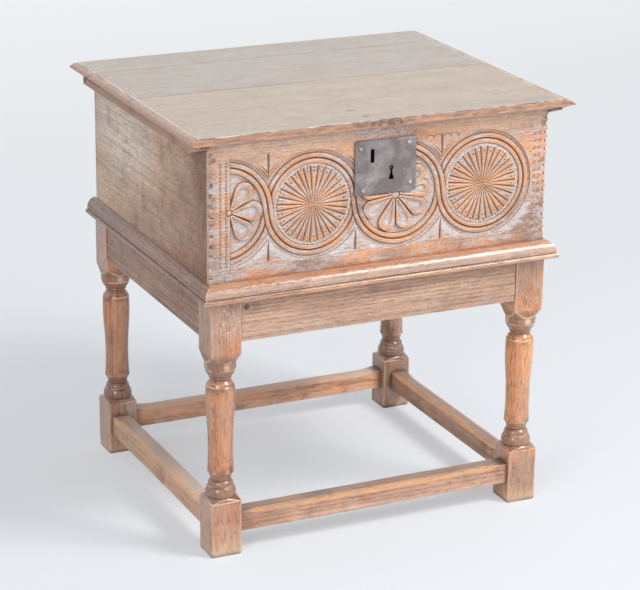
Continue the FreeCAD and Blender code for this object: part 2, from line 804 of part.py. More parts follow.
def make_lock():
    home = (d.lock_offset, box_front, boards_foot + lock_height)
    plate = new_body("lock_plate", home)
    wide, tall = d.plate_width / 2, d.plate_height / 2
    add(plate, "sheet", "y", [rectangle(-wide, wide, -tall, tall)], -d.plate_thickness, 0)
    slot = rectangle(-d.slot_offset - d.slot_width / 2, -d.slot_offset + d.slot_width / 2,
                     d.slot_foot, d.slot_foot + d.slot_height)
    holes = [slot, keyhole_outline()]
    holes += [square(u, v, d.nail_square) for u, v in lock_nail_places()]
    cut(plate, "holes", "y", holes, -d.plate_thickness - d.overrun, d.overrun)

    nails = new_body("lock_nails", home)
    add(nails, "shanks", "y", [square(u, v, d.nail_square) for u, v in lock_nail_places()],
        -d.plate_thickness, d.lock_nail_length - d.plate_thickness)
    heads = add(nails, "heads", "y", [circle(u, v, d.lock_nail_radius) for u, v in lock_nail_places()],
                -d.plate_thickness - d.lock_nail_head, -d.plate_thickness)
    bevel_rims(nails, heads, "forging", d.lock_nail_bevel, -d.plate_thickness - d.lock_nail_head)
    make_cap(home)
    make_bolt(home)
    make_spring(home)


def bevel_rims(body, feature, name, size, level=None):
    """Bevel the full circles of a feature, all or those at one depth."""
    document.recompute()
    rims = []
    for index, edge in enumerate(feature.Shape.Edges, start=1):
        depth = edge.BoundBox.Center.y
        here = level is None or math.isclose(depth, number(level), abs_tol=Part.Precision.confusion())
        if len(edge.Vertexes) == 1 and here:
            rims.append("Edge%d" % index)
    bevel = body.newObject("PartDesign::Chamfer", "%s_%s" % (body.Label, name))
    bevel.Base = (feature, rims)
    bevel.Size = number(size)
    bind(bevel, "Size", size)


def make_cap(home):
    """Iron cap over the inner side of the cut-out, with the pin that guides the key."""
    front = d.front_thickness
    back = front + d.cap_plate_thickness
    lap = d.cap_plate_lap
    body = new_body("lock_cap", home)
    outline = rectangle(-d.works_left - lap, d.works_right + lap, -d.works_foot - lap,
                        d.works_head + lap)
    add(body, "sheet", "y", [outline], front, back)
    pin = circle(d.keyhole_offset, -d.keyhole_drop, d.drill_pin_radius)
    holes = [pin] + [square(u, v, d.cap_nail_square) for u, v in cap_nail_places()]
    cut(body, "holes", "y", holes, front - d.overrun, back + d.overrun)
    drill = new_body("lock_drill_pin", home)
    add(drill, "pin", "y", [pin], -d.drill_pin_reach, back)
    kind = SimpleNamespace(square=d.cap_nail_square, head=d.cap_nail_head,
                           thickness=d.cap_nail_thickness, length=d.cap_nail_reach + d.cap_nail_thickness)
    nail_group("lock_cap_nails", home, "y", cap_nail_places(), kind, back + kind.thickness, 1)


def make_bolt(home):
    """Flat bolt with a notch for the key, sliding in two straps."""
    foot, head = d.bolt_foot, d.bolt_foot + d.bolt_height
    near, far = d.bolt_clearance, d.bolt_clearance + d.bolt_thickness
    bolt = new_body("lock_bolt", home)
    add(bolt, "bar", "y", [rectangle(-d.bolt_tip, d.bolt_tail, foot, head)], near, far)
    half = d.talon_width / 2
    left, right = d.talon_offset - half, d.talon_offset + half
    spring = foot + d.talon_depth - half
    talon = [(right, foot - d.overrun), (right, spring, -half * ROUND_SHARE), (left, spring),
             (left, foot - d.overrun)]
    cut(bolt, "talon", "y", [talon], near - d.overrun, far + d.overrun)

    guides = new_body("lock_bolt_guides", home)
    room = d.bolt_clearance
    wall = d.guide_wall
    back = far + room
    low, high = foot - room, head + room
    strap = [(0, low - wall), (back + wall, low - wall), (back + wall, high + wall),
             (0, high + wall), (0, high), (back, high), (back, low), (0, low)]
    for name, place in (("left", -d.guide_first), ("right", d.guide_last)):
        add(guides, name, "x", [strap], place - d.guide_width / 2, place + d.guide_width / 2)


def make_spring(home):
    """Bent leaf that presses on the bolt."""
    body = new_body("lock_spring", home)
    tip = d.bolt_foot + d.bolt_height + d.bolt_clearance
    start = -d.spring_back
    bend = start + d.spring_length / 2
    end = start + d.spring_length
    thick = d.spring_thickness
    knee = d.spring_head - d.spring_bend
    leaf = [(start, d.spring_head), (bend, knee), (end, tip), (end, tip + thick),
            (bend, knee + thick), (start, d.spring_head + thick)]
    add(body, "leaf", "y", [leaf], 0, d.spring_width)


# Lid.

def edge_waste(outer, sign):
    """Waste outside the thumb moulding, with its hollow under-edge."""
    top = d.lid_thickness
    nose = top - d.lid_nose_drop
    under = nose - d.lid_nose_height
    inside = outer - d.lid_edge_width * sign
    outside = outer + d.overrun * sign
    return [
        (inside, top + d.overrun), (inside, top - d.lid_edge_step, d.lid_edge_bulge * sign),
        (outer, nose), (outer, under, -d.lid_under_hollow * sign),
        (outer - d.lid_under_width * sign, 0), (outer - d.lid_under_width * sign, -d.overrun),
        (outside, -d.overrun), (outside, top + d.overrun),
    ]


def make_lid():
    joint_one = lid_front + d.lid_front_board
    joint_two = joint_one + d.lid_middle_board
    boards = (("front", lid_front, joint_one), ("middle", joint_one, joint_two),
              ("back", joint_two, lid_back))
    across = cleat_inner + d.cleat_width / 2
    every_nail = []
    kind = board_nail(d.lid_nail_length)
    for name, start, end in boards:
        body = new_body("lid_board_" + name, (0, 0, box_top))
        add(body, "board", "z", [rectangle(-lid_half, lid_half, start, end)], 0, d.lid_thickness)
        for side, sign in (("left", -1), ("right", 1)):
            cut(body, side + "_edge", "y", [edge_waste(lid_half * sign, sign)],
                start - d.overrun, end + d.overrun)
        if name == "front":
            cut(body, "front_edge", "x", [edge_waste(start, -1)], -lid_half - d.overrun,
                lid_half + d.overrun)
        depths = [start + (end - start) * share for share in LID_NAIL_SHARES[name]]
        places = [(across * sign, depth) for sign in (-1, 1) for depth in depths]
        nail_holes(body, "z", places, kind, d.lid_thickness, 1)
        every_nail += places
    nail_group("lid_nails", (0, 0, box_top), "z", every_nail, kind, d.lid_thickness, 1)
    depths = [depth for place, depth in every_nail if number(place) > 0]
    for name, sign in (("left", -1), ("right", 1)):
        make_cleat(name, sign, depths)


def make_cleat(name, sign, nail_depths):
    """Batten under a lid end, cut away to the front and bored for the hinge pin."""
    body = new_body("lid_cleat_" + name, (cleat_inner * sign, 0, box_top))
    tip = lid_front + d.cleat_front_gap
    heel = tip + d.cleat_front_slope
    end = hinge_y + d.cleat_back_end
    outline = [(tip, 0), (tip, -d.cleat_front_tip), (heel, -d.cleat_depth),
               (end, -d.cleat_depth), (end, 0)]
    outer = d.cleat_width * sign
    low, high = (outer, 0) if sign < 0 else (0, outer)
    add(body, "batten", "x", [outline], low, high)
    bore = circle(hinge_y, -hinge_drop, bore_radius)
    cut(body, "hinge_bore", "x", [bore], low - d.overrun, high + d.overrun)
    depth = d.lid_nail_length - d.lid_thickness
    holes = [square(outer / 2, place, d.nail_square) for place in nail_depths]
    cut(body, "nail_holes", "z", holes, -depth, d.overrun)
    make_hinge_pin(name, sign)


def make_hinge_pin(name, sign):
    """Round pin through the cleat and the box side into the end of the back board."""
    body = new_body("hinge_pin_" + name, (half_width * sign, hinge_y, box_top - hinge_drop))
    outer = (d.cleat_clearance + d.cleat_width) * sign
    inner = -d.side_thickness * sign
    low, high = (outer, inner) if sign < 0 else (inner, outer)
    pin = add(body, "pin", "x", [circle(0, 0, d.hinge_pin_radius)], low, high)
    bevel_rims(body, pin, "ends", d.hinge_pin_chamfer)


# Check and write.

def check_features():
    """Stop if a feature failed, or if one that adds or cuts did not."""
    for thing in document.Objects:
        if "Invalid" in thing.State or "Error" in thing.State:
            raise RuntimeError("%s failed: %s" % (thing.Name, thing.State))
        grows = thing.TypeId == "PartDesign::Pad"
        shrinks = thing.TypeId in ("PartDesign::Pocket", "PartDesign::Groove",
                                   "PartDesign::SubtractiveLoft")
        if not (grows or shrinks) or thing.BaseFeature is None:
            continue
        change = thing.Shape.Volume - thing.BaseFeature.Shape.Volume
        if (change > 0) != grows:
            raise RuntimeError("%s changed nothing" % thing.Name)


def write_parts():
    os.makedirs("parts", exist_ok=True)
    for body in document.Objects:
        if body.TypeId != "PartDesign::Body":
            continue
        if body.Shape.isNull() or not body.Shape.isValid():
            raise RuntimeError("%s has no valid shape" % body.Label)
        body.Shape.exportStep("parts/%s.step" % body.Label)
        print(body.Label, len(body.Shape.Solids), round(body.Shape.Volume))


make_stand()
make_mouldings()
make_box()
make_lock()
make_lid()
document.recompute()
check_features()
write_parts()
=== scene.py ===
import math
from types import SimpleNamespace

import bpy
import numpy as np
from mathutils import Matrix, Vector


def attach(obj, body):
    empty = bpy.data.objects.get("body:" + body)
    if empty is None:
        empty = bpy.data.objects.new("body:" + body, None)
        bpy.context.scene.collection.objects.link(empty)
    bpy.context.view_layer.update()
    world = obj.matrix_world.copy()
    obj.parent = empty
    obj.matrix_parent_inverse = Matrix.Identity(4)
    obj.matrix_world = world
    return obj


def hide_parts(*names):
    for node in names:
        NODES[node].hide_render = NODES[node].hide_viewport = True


# Oak bible box on a joined stand. Lengths below are millimetres, turned to metres in each mesh.
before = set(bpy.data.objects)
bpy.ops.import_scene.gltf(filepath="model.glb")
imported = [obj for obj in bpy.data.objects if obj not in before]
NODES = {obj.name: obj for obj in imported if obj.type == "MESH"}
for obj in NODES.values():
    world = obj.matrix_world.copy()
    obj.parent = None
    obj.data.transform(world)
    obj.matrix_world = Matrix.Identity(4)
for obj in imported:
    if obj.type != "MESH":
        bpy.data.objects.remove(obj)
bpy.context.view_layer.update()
MM = 0.001


def limits(node):
    """Low and high corner of a CAD node."""
    piece = NODES[node]
    corners = np.array([piece.matrix_world @ Vector(c) for c in piece.bound_box]) / MM
    return np.round(corners.min(0), 2).tolist(), np.round(corners.max(0), 2).tolist()


def middle_of(node):
    return [round((a + b) / 2, 2) for a, b in zip(*limits(node))]


(_, FACE_Y, BOARD_FOOT), (BOARD_X, BOARD_BACK, BOARD_TOP) = limits("box_front")


# Camera and light.
VIEW_DEGREES = (-25.25, 19.09, 0.65)
VIEW_TARGET, VIEW_DISTANCE = (12.66, 2.5, 326.95), 4092.19
FOCAL_PIXELS, PHOTO_PIXELS = 2365.35, 640.0


def make_camera():
    """A long lens at the photograph's height, to the left of the front."""
    azimuth, elevation, roll = (math.radians(a) for a in VIEW_DEGREES)
    back = Vector((math.sin(azimuth) * math.cos(elevation),
                   -math.cos(azimuth) * math.cos(elevation), math.sin(elevation)))
    right = (-back).cross(Vector((0, 0, 1))).normalized()
    up = right.cross(-back)
    right, up = (right * math.cos(roll) + up * math.sin(roll),
                 up * math.cos(roll) - right * math.sin(roll))
    data = bpy.data.cameras.new("camera")
    data.sensor_width = 36.0
    data.lens = FOCAL_PIXELS / PHOTO_PIXELS * data.sensor_width
    data.clip_start, data.clip_end = 0.1, 60.0
    camera = bpy.data.objects.new("camera", data)
    bpy.context.scene.collection.objects.link(camera)
    place = Vector(VIEW_TARGET) * MM + back * VIEW_DISTANCE * MM
    camera.matrix_world = Matrix((right, up, back)).transposed().to_4x4()
    camera.matrix_world.translation = place
    bpy.context.scene.camera = camera


def srgb(red, green, blue):
    """A colour written as a screen shows it, in the renderer's linear values."""
    return tuple((v / 255 / 12.92 if v < 11 else ((v / 255 + 0.055) / 1.055) ** 2.4)
                 for v in (red, green, blue)) + (1.0,)


def softbox(name, place, target, size, watts):
    data = bpy.data.lights.new(name, "AREA")
    data.shape = "RECTANGLE"
    data.size, data.size_y = size
    data.energy = watts
    lamp = bpy.data.objects.new(name, data)
    bpy.context.scene.collection.objects.link(lamp)
    lamp.location = Vector(place)
    lamp.rotation_euler = (Vector(place) - Vector(target)).to_track_quat("Z", "Y").to_euler()


# Shader helpers.
class Shader:
    """A short way to write node trees."""

    def __init__(self, owner):
        self.owner = owner
        owner.use_nodes = True
        self.tree = owner.node_tree
        self.tree.nodes.clear()
        self.colour = None

    def link(self, value, socket):
        """Links a socket, or sets a constant."""
        if isinstance(value, bpy.types.NodeSocket):
            self.tree.links.new(value, socket)
        else:
            socket.default_value = value

    def add(self, kind, **values):
        """Adds a node; names with a capital are its sockets, the others its settings."""
        node = self.tree.nodes.new("ShaderNode" + kind)
        for key, value in values.items():
            if key[0].isupper():
                self.link(value, node.inputs[key.replace("_", " ")])
            else:
                setattr(node, key, value)
        return node

    def maths(self, operation, first, second=0.0, third=0.0, clamp=False):
        node = self.tree.nodes.new("ShaderNodeMath")
        node.operation, node.use_clamp = operation, clamp
        for socket, value in zip(node.inputs, (first, second, third)):
            self.link(value, socket)
        return node.outputs[0]

    def times(self, first, second):
        return self.maths("MULTIPLY", first, second)

    def remap(self, value, low, high, to_low=0.0, to_high=1.0):
        return self.add("MapRange", Value=value, From_Min=low, From_Max=high,
                        To_Min=to_low, To_Max=to_high).outputs[0]

    def mix(self, share, first, second):
        node = self.add("Mix", data_type="RGBA")
        for index, value in ((0, share), (6, first), (7, second)):
            self.link(value, node.inputs[index])
        return node.outputs[2]

    def lay(self, share, tint):
        """Lays a share of a tint over the colour so far."""
        self.colour = self.mix(share, self.colour, srgb(*tint))

    def noise(self, scale, detail, rough=0.5, stretch=(1, 1, 1), shift=0.0):
        """Noise with its own stretch; scale is in features to the metre."""
        moved = self.add("Mapping", Vector=self.here, Scale=stretch,
                         Location=(shift, shift * 1.7, shift * 0.6))
        return self.add("TexNoise", Vector=moved.outputs[0], Scale=scale,
                        Detail=detail, Roughness=rough).outputs[0]

    def vector(self, operation, *values):
        node = self.add("VectorMath", operation=operation)
        for socket, value in zip(node.inputs, values):
            self.link(value, socket)
        return node.outputs["Value" if operation in ("LENGTH", "DOT_PRODUCT") else "Vector"]

    def zone(self, centre, size):
        """1 inside a soft ellipsoid given in millimetres, 0 outside it."""
        away = self.vector("SUBTRACT", self.here, tuple(v * MM for v in centre))
        scaled = self.vector("DIVIDE", away, tuple(v * MM for v in size))
        return self.remap(self.vector("LENGTH", scaled), 1.0, 0.45)

    def mark(self, name):
        return self.add("Attribute", attribute_name=name).outputs["Fac"]

    def surface(self, colour, rough, bump, distance, **constants):
        shader = self.add("BsdfPrincipled", Base_Color=colour, Roughness=rough, **constants)
        relief = self.add("Bump", Height=bump, Strength=1.0, Distance=distance)
        self.link(relief.outputs[0], shader.inputs["Normal"])
        return shader

    def blend(self, share, first, second):
        both = self.add("MixShader", Fac=share)
        self.link(first.outputs[0], both.inputs[1])
        self.link(second.outputs[0], both.inputs[2])
        return both

    def finish(self, shader, output="OutputMaterial"):
        self.link(shader.outputs[0], self.add(output).inputs[0])
        return self.owner


def new_material(name):
    """A shader for a new material, with the object's own coordinates to hand."""
    s = Shader(bpy.data.materials.new(name))
    s.here = s.add("TexCoord").outputs["Object"]
    return s


# Materials.
AXES = {"x": 0, "y": 1, "z": 2}
OAK = dict(shift=0.0, zones=(), hollow=(186, 170, 163), crease=(70, 44, 34),
           rings=230.0, ring_low=0.15, pith=(0.05, -0.09), swirl=0.025, streaks=(12.0, 260.0),
           figure=0.4, flake=0.0, veins=0.4, pores=0.6, mottle=0.5, speck=0.4, wipes=0.0,
           haze=0.45, film_range=(0.46, 0.66), bare_above=None, dust=0.0, dust_tone=None,
           edge_tone=None, scratches=None, glints=0.0, edge=2.2, nook=(0.72, 0.2),
           shine=0.36, coat=0.25, coat_rough=0.16, sheen=0.0)
CUT_WOOD = (182, 148, 122)
RED_WOOD = (120, 72, 38)
SCRATCH = (232, 216, 204)
GLINT_HIGHLIGHT = (240, 237, 235)
EDGE_LIGHT, EDGE_DARK = (204, 142, 104), (98, 70, 56)


def along(grain, lengthwise, across):
    """A stretch that runs with the grain."""
    scale = [across] * 3
    scale[AXES[grain]] = lengthwise
    return tuple(scale)


def grained(s, look, lengthwise, across, detail, rough, shift=0):
    """Noise drawn out along the grain."""
    return s.noise(1.0, detail, rough, along(look.grain, lengthwise, across),
                   shift=look.shift + shift)


def normal_of(s):
    return s.add("NewGeometry").outputs["Normal"]


def growth_rings(s, look, axes):
    """Bands at even distances from a wandering pith."""
    first, second = [axes[k] for k in range(3) if k != AXES[look.grain]]
    wander = grained(s, look, 3.0, 20.0, 4, 0.6)
    reach = s.times(s.maths("SUBTRACT", wander, 0.5), look.swirl)
    one = s.maths("ADD", s.maths("SUBTRACT", first, look.pith[0]), reach)
    two = s.maths("ADD", s.maths("SUBTRACT", second, look.pith[1]), reach)
    radius = s.maths("SQRT", s.maths("ADD", s.times(one, one), s.times(two, two)))
    wave = s.maths("SINE", s.times(radius, look.rings * 2 * math.pi))
    return s.remap(wave, look.ring_low, 1.0)


def oak_fields(s, look):
    """The rings and noises that the layers of an oak share."""
    axes = s.add("SeparateXYZ", Vector=s.here).outputs
    ring = growth_rings(s, look, axes)
    dash = grained(s, look, 75.0, 1250.0, 3, 0.62, 7)
    holes = s.times(s.remap(dash, 0.52, 0.64), s.maths("MULTIPLY_ADD", ring, 0.5, 0.5))
    return SimpleNamespace(
        axes=axes, ring=ring, holes=holes, streak=grained(s, look, *look.streaks, 5, 0.7, 5),
        stain=s.noise(16.0, 6, 0.64, shift=look.shift + 9),
        salt=s.noise(430.0, 2, 0.6, shift=look.shift + 12))


def bare_wood(s, look, f):
    """Two tones, local patches, fresh cuts and the growth rings."""
    tone = grained(s, look, 5.0, 24.0, 3, 0.55, 2)
    s.colour = srgb(*look.mid)
    s.lay(s.remap(tone, 0.38, 0.62), look.pale)
    for centre, size, tint, share in look.zones:
        uneven = s.remap(f.stain, 0.35, 0.6, 0.6 * share, share)
        s.lay(s.times(s.zone(centre, size), uneven), tint)
    if look.edge_tone:
        s.lay(s.times(s.mark("raw"), 0.85), CUT_WOOD)
    lines = s.times(f.ring, s.remap(f.streak, 0.32, 0.6))
    s.lay(s.times(lines, look.figure), look.dark)


def film_and_pores(s, look, f):
    """A grey film, then the veins, pores and rays that show through it."""
    film = grained(s, look, 24.0, 60.0, 5, 0.66, 14)
    film = s.times(s.remap(film, *look.film_range), look.haze)
    if look.bare_above:
        start, end = look.bare_above * MM, (look.bare_above + 12) * MM
        film = s.times(film, s.remap(f.axes[2], start, end, 1.0, 0.3))
    s.lay(film, look.hollow)
    vein = grained(s, look, 6.0, 330.0, 4, 0.6, 8)
    s.lay(s.times(s.remap(vein, 0.5, 0.66), look.veins), look.dark)
    s.lay(s.times(f.holes, look.pores), look.crease)
    if look.flake:
        rays = grained(s, look, 5.0, 120.0, 5, 0.62, 11)
        s.lay(s.times(s.remap(rays, 0.44, 0.64), look.flake), look.dark)


def wiped_side(s, look, f):
    """Pale upright wipes, and a red-brown tint that grows towards the front."""
    wipe = s.noise(1.0, 3, 0.7, along("z", 1.6, 75.0), shift=look.shift + 16)
    s.lay(s.times(s.remap(wipe, 0.58, 0.68), look.wipes), look.worn)
    front = s.maths("ADD", s.remap(f.axes[1], 0.0, -0.24), s.remap(f.stain, 0.4, 0.6, -0.12, 0.12))
    s.lay(s.maths("MULTIPLY", front, 0.85, clamp=True), RED_WOOD)


def stains_and_specks(s, look, f):
    """Dark stains, pale specks and dark specks."""
    pepper = s.noise(520.0, 2, 0.6, shift=look.shift + 18)
    s.lay(s.times(s.remap(f.stain, 0.54, 0.72), look.mottle), look.dark)
    s.lay(s.times(s.remap(f.salt, 0.56, 0.7), look.speck), look.hollow)
    s.lay(s.remap(pepper, 0.55, 0.7, 0.0, 0.55 * look.speck), look.dark)


def dusty_top(s, look, f):
    """Dust on what faces up, and a chamfer beside it in a worn and painted highlight tone."""
    up = s.add("SeparateXYZ", Vector=normal_of(s)).outputs[2]
    # The chamfer by its slope: wear and painted highlight.
    chamfer = s.times(s.remap(up, 0.3, 0.45), s.remap(up, 0.95, 0.85))
    s.lay(s.times(chamfer, s.remap(f.streak, 0.35, 0.6, 0.95, 0.5)), look.worn)
    layer = s.times(s.remap(up, 0.85, 0.96), look.dust)
    layer = s.times(layer, s.remap(f.stain, 0.35, 0.6, 0.55, 1.0))
    s.lay(layer, look.dust_tone or look.hollow)


def scratched(s, look):
    """Pale scratches in two directions, inside one zone."""
    upright = s.noise(1.0, 3, 0.75, (420.0, 420.0, 40.0), shift=look.shift + 22)
    level = s.noise(1.0, 3, 0.75, (60.0, 60.0, 380.0), shift=look.shift + 24)
    scrape = s.maths("MAXIMUM", s.remap(upright, 0.555, 0.6), s.remap(level, 0.57, 0.62))
    s.lay(s.times(s.times(scrape, s.zone(*look.scratches)), 0.8), SCRATCH)


def moulded_edge(s, look, f):
    """The darker, speckled skin of a thumb moulding."""
    patch = grained(s, look, 45.0, 170.0, 4, 0.7, 20)
    skin = s.mix(s.remap(patch, 0.42, 0.6), srgb(*look.edge_tone), srgb(*EDGE_LIGHT))
    skin = s.mix(s.remap(f.salt, 0.5, 0.64, 0.0, 0.4), skin, srgb(*EDGE_DARK))
    s.colour = s.mix(s.times(s.mark("moulded"), 0.96), s.colour, skin)


def bloom_and_highlights(s, look, f):
    """Grey bloom and painted light where the mesh marks it, with painted highlight glints in its
    thickest places.
    """
    bloom_and_painted_light = s.times(s.mark("bloom_and_painted_light"), s.remap(f.stain, 0.3, 0.6, 1.0, 0.7))
    s.lay(bloom_and_painted_light, look.hollow)
    # Painted highlight glints where the bloom is thickest.
    highlight_speck = s.times(s.remap(f.salt, 0.5, 0.62), s.remap(bloom_and_painted_light, 0.45, 0.95))
    s.lay(s.times(highlight_speck, look.glints), GLINT_HIGHLIGHT)


def rubbed(s, look, f):
    """Worn wood, with the legs' painted rim highlights, on marked places and, for CAD nodes, on
    their arrises.
    """
    rub = s.mark("wear")
    if look.edge:
        curved = s.add("Bevel", samples=6, Radius=look.edge * MM).outputs[0]
        bend = s.vector("DOT_PRODUCT", normal_of(s), curved)
        rub = s.maths("MAXIMUM", rub, s.remap(bend, 0.97, 0.8))
    rub = s.maths("MULTIPLY", rub, s.remap(f.stain, 0.36, 0.6, 0.35, 1.0), clamp=True)
    s.lay(rub, look.worn)


def nook_shade_and_dirt(s, look):
    """Painted shade in nooks, less of it under the bloom, and the marked painted shade and dirt of
    hollows.
    """
    shade = s.add("AmbientOcclusion", samples=6, Distance=0.012)
    near = s.remap(shade.outputs["AO"], *look.nook, 0.0, 0.85)
    near = s.times(near, s.maths("MULTIPLY_ADD", s.mark("bloom_and_painted_light"), -0.6, 1.0))
    return s.maths("MAXIMUM", near, s.mark("shade_and_dirt"), clamp=True)


def oak(name, grain, mid, pale, dark, worn, **changes):
    """Old waxed oak, laid on in layers; changes are to the values in OAK."""
    s = new_material(name)
    look = SimpleNamespace(grain=grain, mid=mid, pale=pale, dark=dark, worn=worn, **OAK | changes)
    f = oak_fields(s, look)
    bare_wood(s, look, f)
    film_and_pores(s, look, f)
    if look.wipes:
        wiped_side(s, look, f)
    stains_and_specks(s, look, f)
    if look.dust:
        dusty_top(s, look, f)
    if look.scratches:
        scratched(s, look)
    if look.edge_tone:
        moulded_edge(s, look, f)
    bloom_and_highlights(s, look, f)
    rubbed(s, look, f)
    # Painted shade in nooks and hollows, with the marked dirt, in the pore and shade tone.
    deep = nook_shade_and_dirt(s, look)
    s.lay(deep, look.crease)
    rough = s.maths("ADD", s.remap(f.stain, 0.3, 0.7, look.shine, look.shine + 0.16),
                    s.times(deep, 0.25))
    height = s.maths("SUBTRACT", s.times(f.streak, 0.5), s.times(f.holes, 0.8))
    height = s.maths("ADD", height, s.times(f.stain, 0.9))
    return s.finish(s.surface(
        s.colour, rough, height, 0.0007, Coat_Weight=look.coat, Coat_Roughness=look.coat_rough,
        Sheen_Weight=look.sheen, Sheen_Roughness=0.4, Sheen_Tint=srgb(242, 236, 228)))


IRON_PIT, IRON_NOOK_SHADE = (34, 27, 25), (30, 24, 22)


def iron(name, dark, mid, rust, shine=0.45, metal=0.35):
    """Old wrought iron: brown-black skin, rust bloom, rubbed places and painted shade in its nooks.
    """
    s = new_material(name)
    broad = s.noise(26.0, 5, 0.6)
    fine = s.noise(240.0, 4, 0.65, shift=4)
    pits = s.noise(620.0, 2, 0.5, shift=8)
    s.colour = srgb(*dark)
    s.lay(s.remap(broad, 0.4, 0.62), mid)
    s.lay(s.remap(fine, 0.5, 0.68, 0.0, 0.7), rust)
    s.lay(s.remap(pits, 0.6, 0.7, 0.0, 0.5), IRON_PIT)
    # Painted shade in the iron's nooks.
    shade = s.add("AmbientOcclusion", samples=6, Distance=0.006)
    s.lay(s.remap(shade.outputs["AO"], 0.8, 0.3, 0.0, 0.8), IRON_NOOK_SHADE)
    rough = s.remap(fine, 0.3, 0.7, shine, shine + 0.3)
    height = s.maths("ADD", broad, s.times(fine, 0.5))
    return s.finish(s.surface(s.colour, rough, height, 0.0009, Metallic=metal))


# Mesh helpers.
def ripple(u, v, cell, seed):
    """Smooth random relief from -1 to 1 over any coordinates, with features about a cell wide."""
    grid = np.random.default_rng(seed).uniform(-1, 1, (256, 256))
    u, v = np.broadcast_arrays(np.asarray(u, float) / cell, np.asarray(v, float) / cell)
    i, j = np.floor(u).astype(int), np.floor(v).astype(int)
    a, b = u - i, v - j
    a, b = a * a * (3 - 2 * a), b * b * (3 - 2 * b)
    pick = [grid[(i + p) % 256, (j + q) % 256] for p in (0, 1) for q in (0, 1)]
    return (pick[0] * (1 - a) * (1 - b) + pick[1] * (1 - a) * b
            + pick[2] * a * (1 - b) + pick[3] * a * b)


def step(value, low, high):
    """A smooth rise from 0 at low to 1 at high."""
    share = np.clip((value - low) / (high - low), 0, 1)
    return share * share * (3 - 2 * share)


def drop(value, low, high):
    """A smooth fall from 1 at low to 0 at high."""
    return 1 - step(value, low, high)


def make_piece(node, points, faces, material, body, marks, sharp, rounds, depth):
    """A mesh piece in a node's place, with painted shade in its hollows and worn edges read from
    its own shape.
    """
    name = "piece_" + node
    mesh = bpy.data.meshes.new(name)
    mesh.from_pydata((np.asarray(points) * MM).tolist(), [], faces)
    mesh.update()
    mesh.materials.append(material)
    mesh.shade_smooth()
    mesh.set_sharp_from_angle(angle=math.radians(sharp))
    curve_marks(mesh, marks, rounds, depth)
    piece = bpy.data.objects.new(name, mesh)
    bpy.context.scene.collection.objects.link(piece)
    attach(piece, body)
    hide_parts(node)


def curve_marks(mesh, marks, rounds, depth):
    """Writes the painted-shade mark for hollows and the wear mark for arrises: how far each point
    lies in or out of its smoothed place.
    """
    count = len(mesh.vertices)
    place = np.zeros(count * 3)
    mesh.vertices.foreach_get("co", place)
    place = place.reshape(-1, 3)
    normal = np.zeros(count * 3)
    mesh.vertices.foreach_get("normal", normal)
    normal = normal.reshape(-1, 3)
    ends = np.zeros(len(mesh.edges) * 2, int)
    mesh.edges.foreach_get("vertices", ends)
    first, second = ends[0::2], ends[1::2]
    many = np.bincount(ends, minlength=count).clip(1)
    soft = place.copy()
    for _ in range(rounds):
        total = np.stack([np.bincount(first, soft[second, k], count)
                          + np.bincount(second, soft[first, k], count) for k in range(3)], 1)
        soft = 0.4 * soft + 0.6 * total / many[:, None]
    inward = ((soft - place) * normal).sum(1) / (depth * MM)
    found = {"shade_and_dirt": np.clip(inward, 0, 1), "wear": np.clip(-inward, 0, 1)}
    for key, values in marks.items():
        found[key] = np.clip(found.get(key, 0) + values, 0, 1)
    for key, values in found.items():
        mesh.attributes.new(key, "FLOAT", "POINT").data.foreach_set(
            "value", np.asarray(values, np.float32))


# Legs.
def arc(start, end, bulge, count):
    """Points (z, r) from start to end along an arc that stands out by bulge."""
    share = np.linspace(0, 1, count + 1)
    start, end = np.array(start, float), np.array(end, float)
    chord = end - start
    out = np.array([-chord[1], chord[0]]) / np.hypot(*chord)
    if out[1] < 0:
        out = -out
    line = start + share[:, None] * chord
    return line + (4 * share * (1 - share) * bulge)[:, None] * out


def leg_profile():
    """The turning's radius at each height, with the blocks left wider than the square."""
    parts = [[(0, 60), (90, 60), (93.6, 39.6), (94, 39.3)],
             arc((94, 39.3), (101, 24.2), -1.2, 8),
             arc((101, 24.2), (117, 21.7), 2.0, 14),
             [(117, 20.8), (118.4, 20.8)],
             arc((118.4, 20.8), (128.5, 16.2), 1.6, 10),
             [(129.5, 16.2), (130.5, 16.3)],
             arc((130.5, 17.2), (142, 21.8), -0.9, 8),
             arc((142, 21.8), (235.1, 22.6), -1.9, 40),
             arc((235.1, 22.6), (291, 23.3), 1.0, 24),
             [(291.6, 23.2), (292.3, 22.4)],
             arc((292.3, 22.4), (300.5, 17.2), 0.4, 7),
             [(301.2, 17.0), (304.5, 17.0)],
             arc((304.5, 17.6), (308, 17.6), 1.1, 7),
             arc((308, 18.2), (320.5, 25.2), 1.2, 10),
             arc((320.5, 25.4), (332, 25.6), 0.5, 9),
             arc((332, 25.6), (349.5, 39.3), -1.0, 12),
             [(350, 39.6), (354, 60), (455, 60)]]
    points = np.concatenate([np.asarray(p, float) for p in parts])
    return points[:, 0], points[:, 1]


def square_radius(angle, half, corner):
    """Distance to the side of a square with rounded corners, seen from its middle."""
    folded = np.abs((angle + math.pi / 4) % (math.pi / 2) - math.pi / 4)
    middle = half - corner
    total = np.cos(folded) + np.sin(folded)
    rounded = middle * total + np.sqrt(np.maximum(
        (middle * total) ** 2 - 2 * middle ** 2 + corner ** 2, 0))
    flat = half / np.cos(folded)
    return np.where(half * np.tan(folded) > middle, rounded, flat)


RIMS = (94.0, 117.7, 291.8, 320.5)
LEG_HALF, LEG_TOP = 26.35, limits("leg_front_left")[1][2]


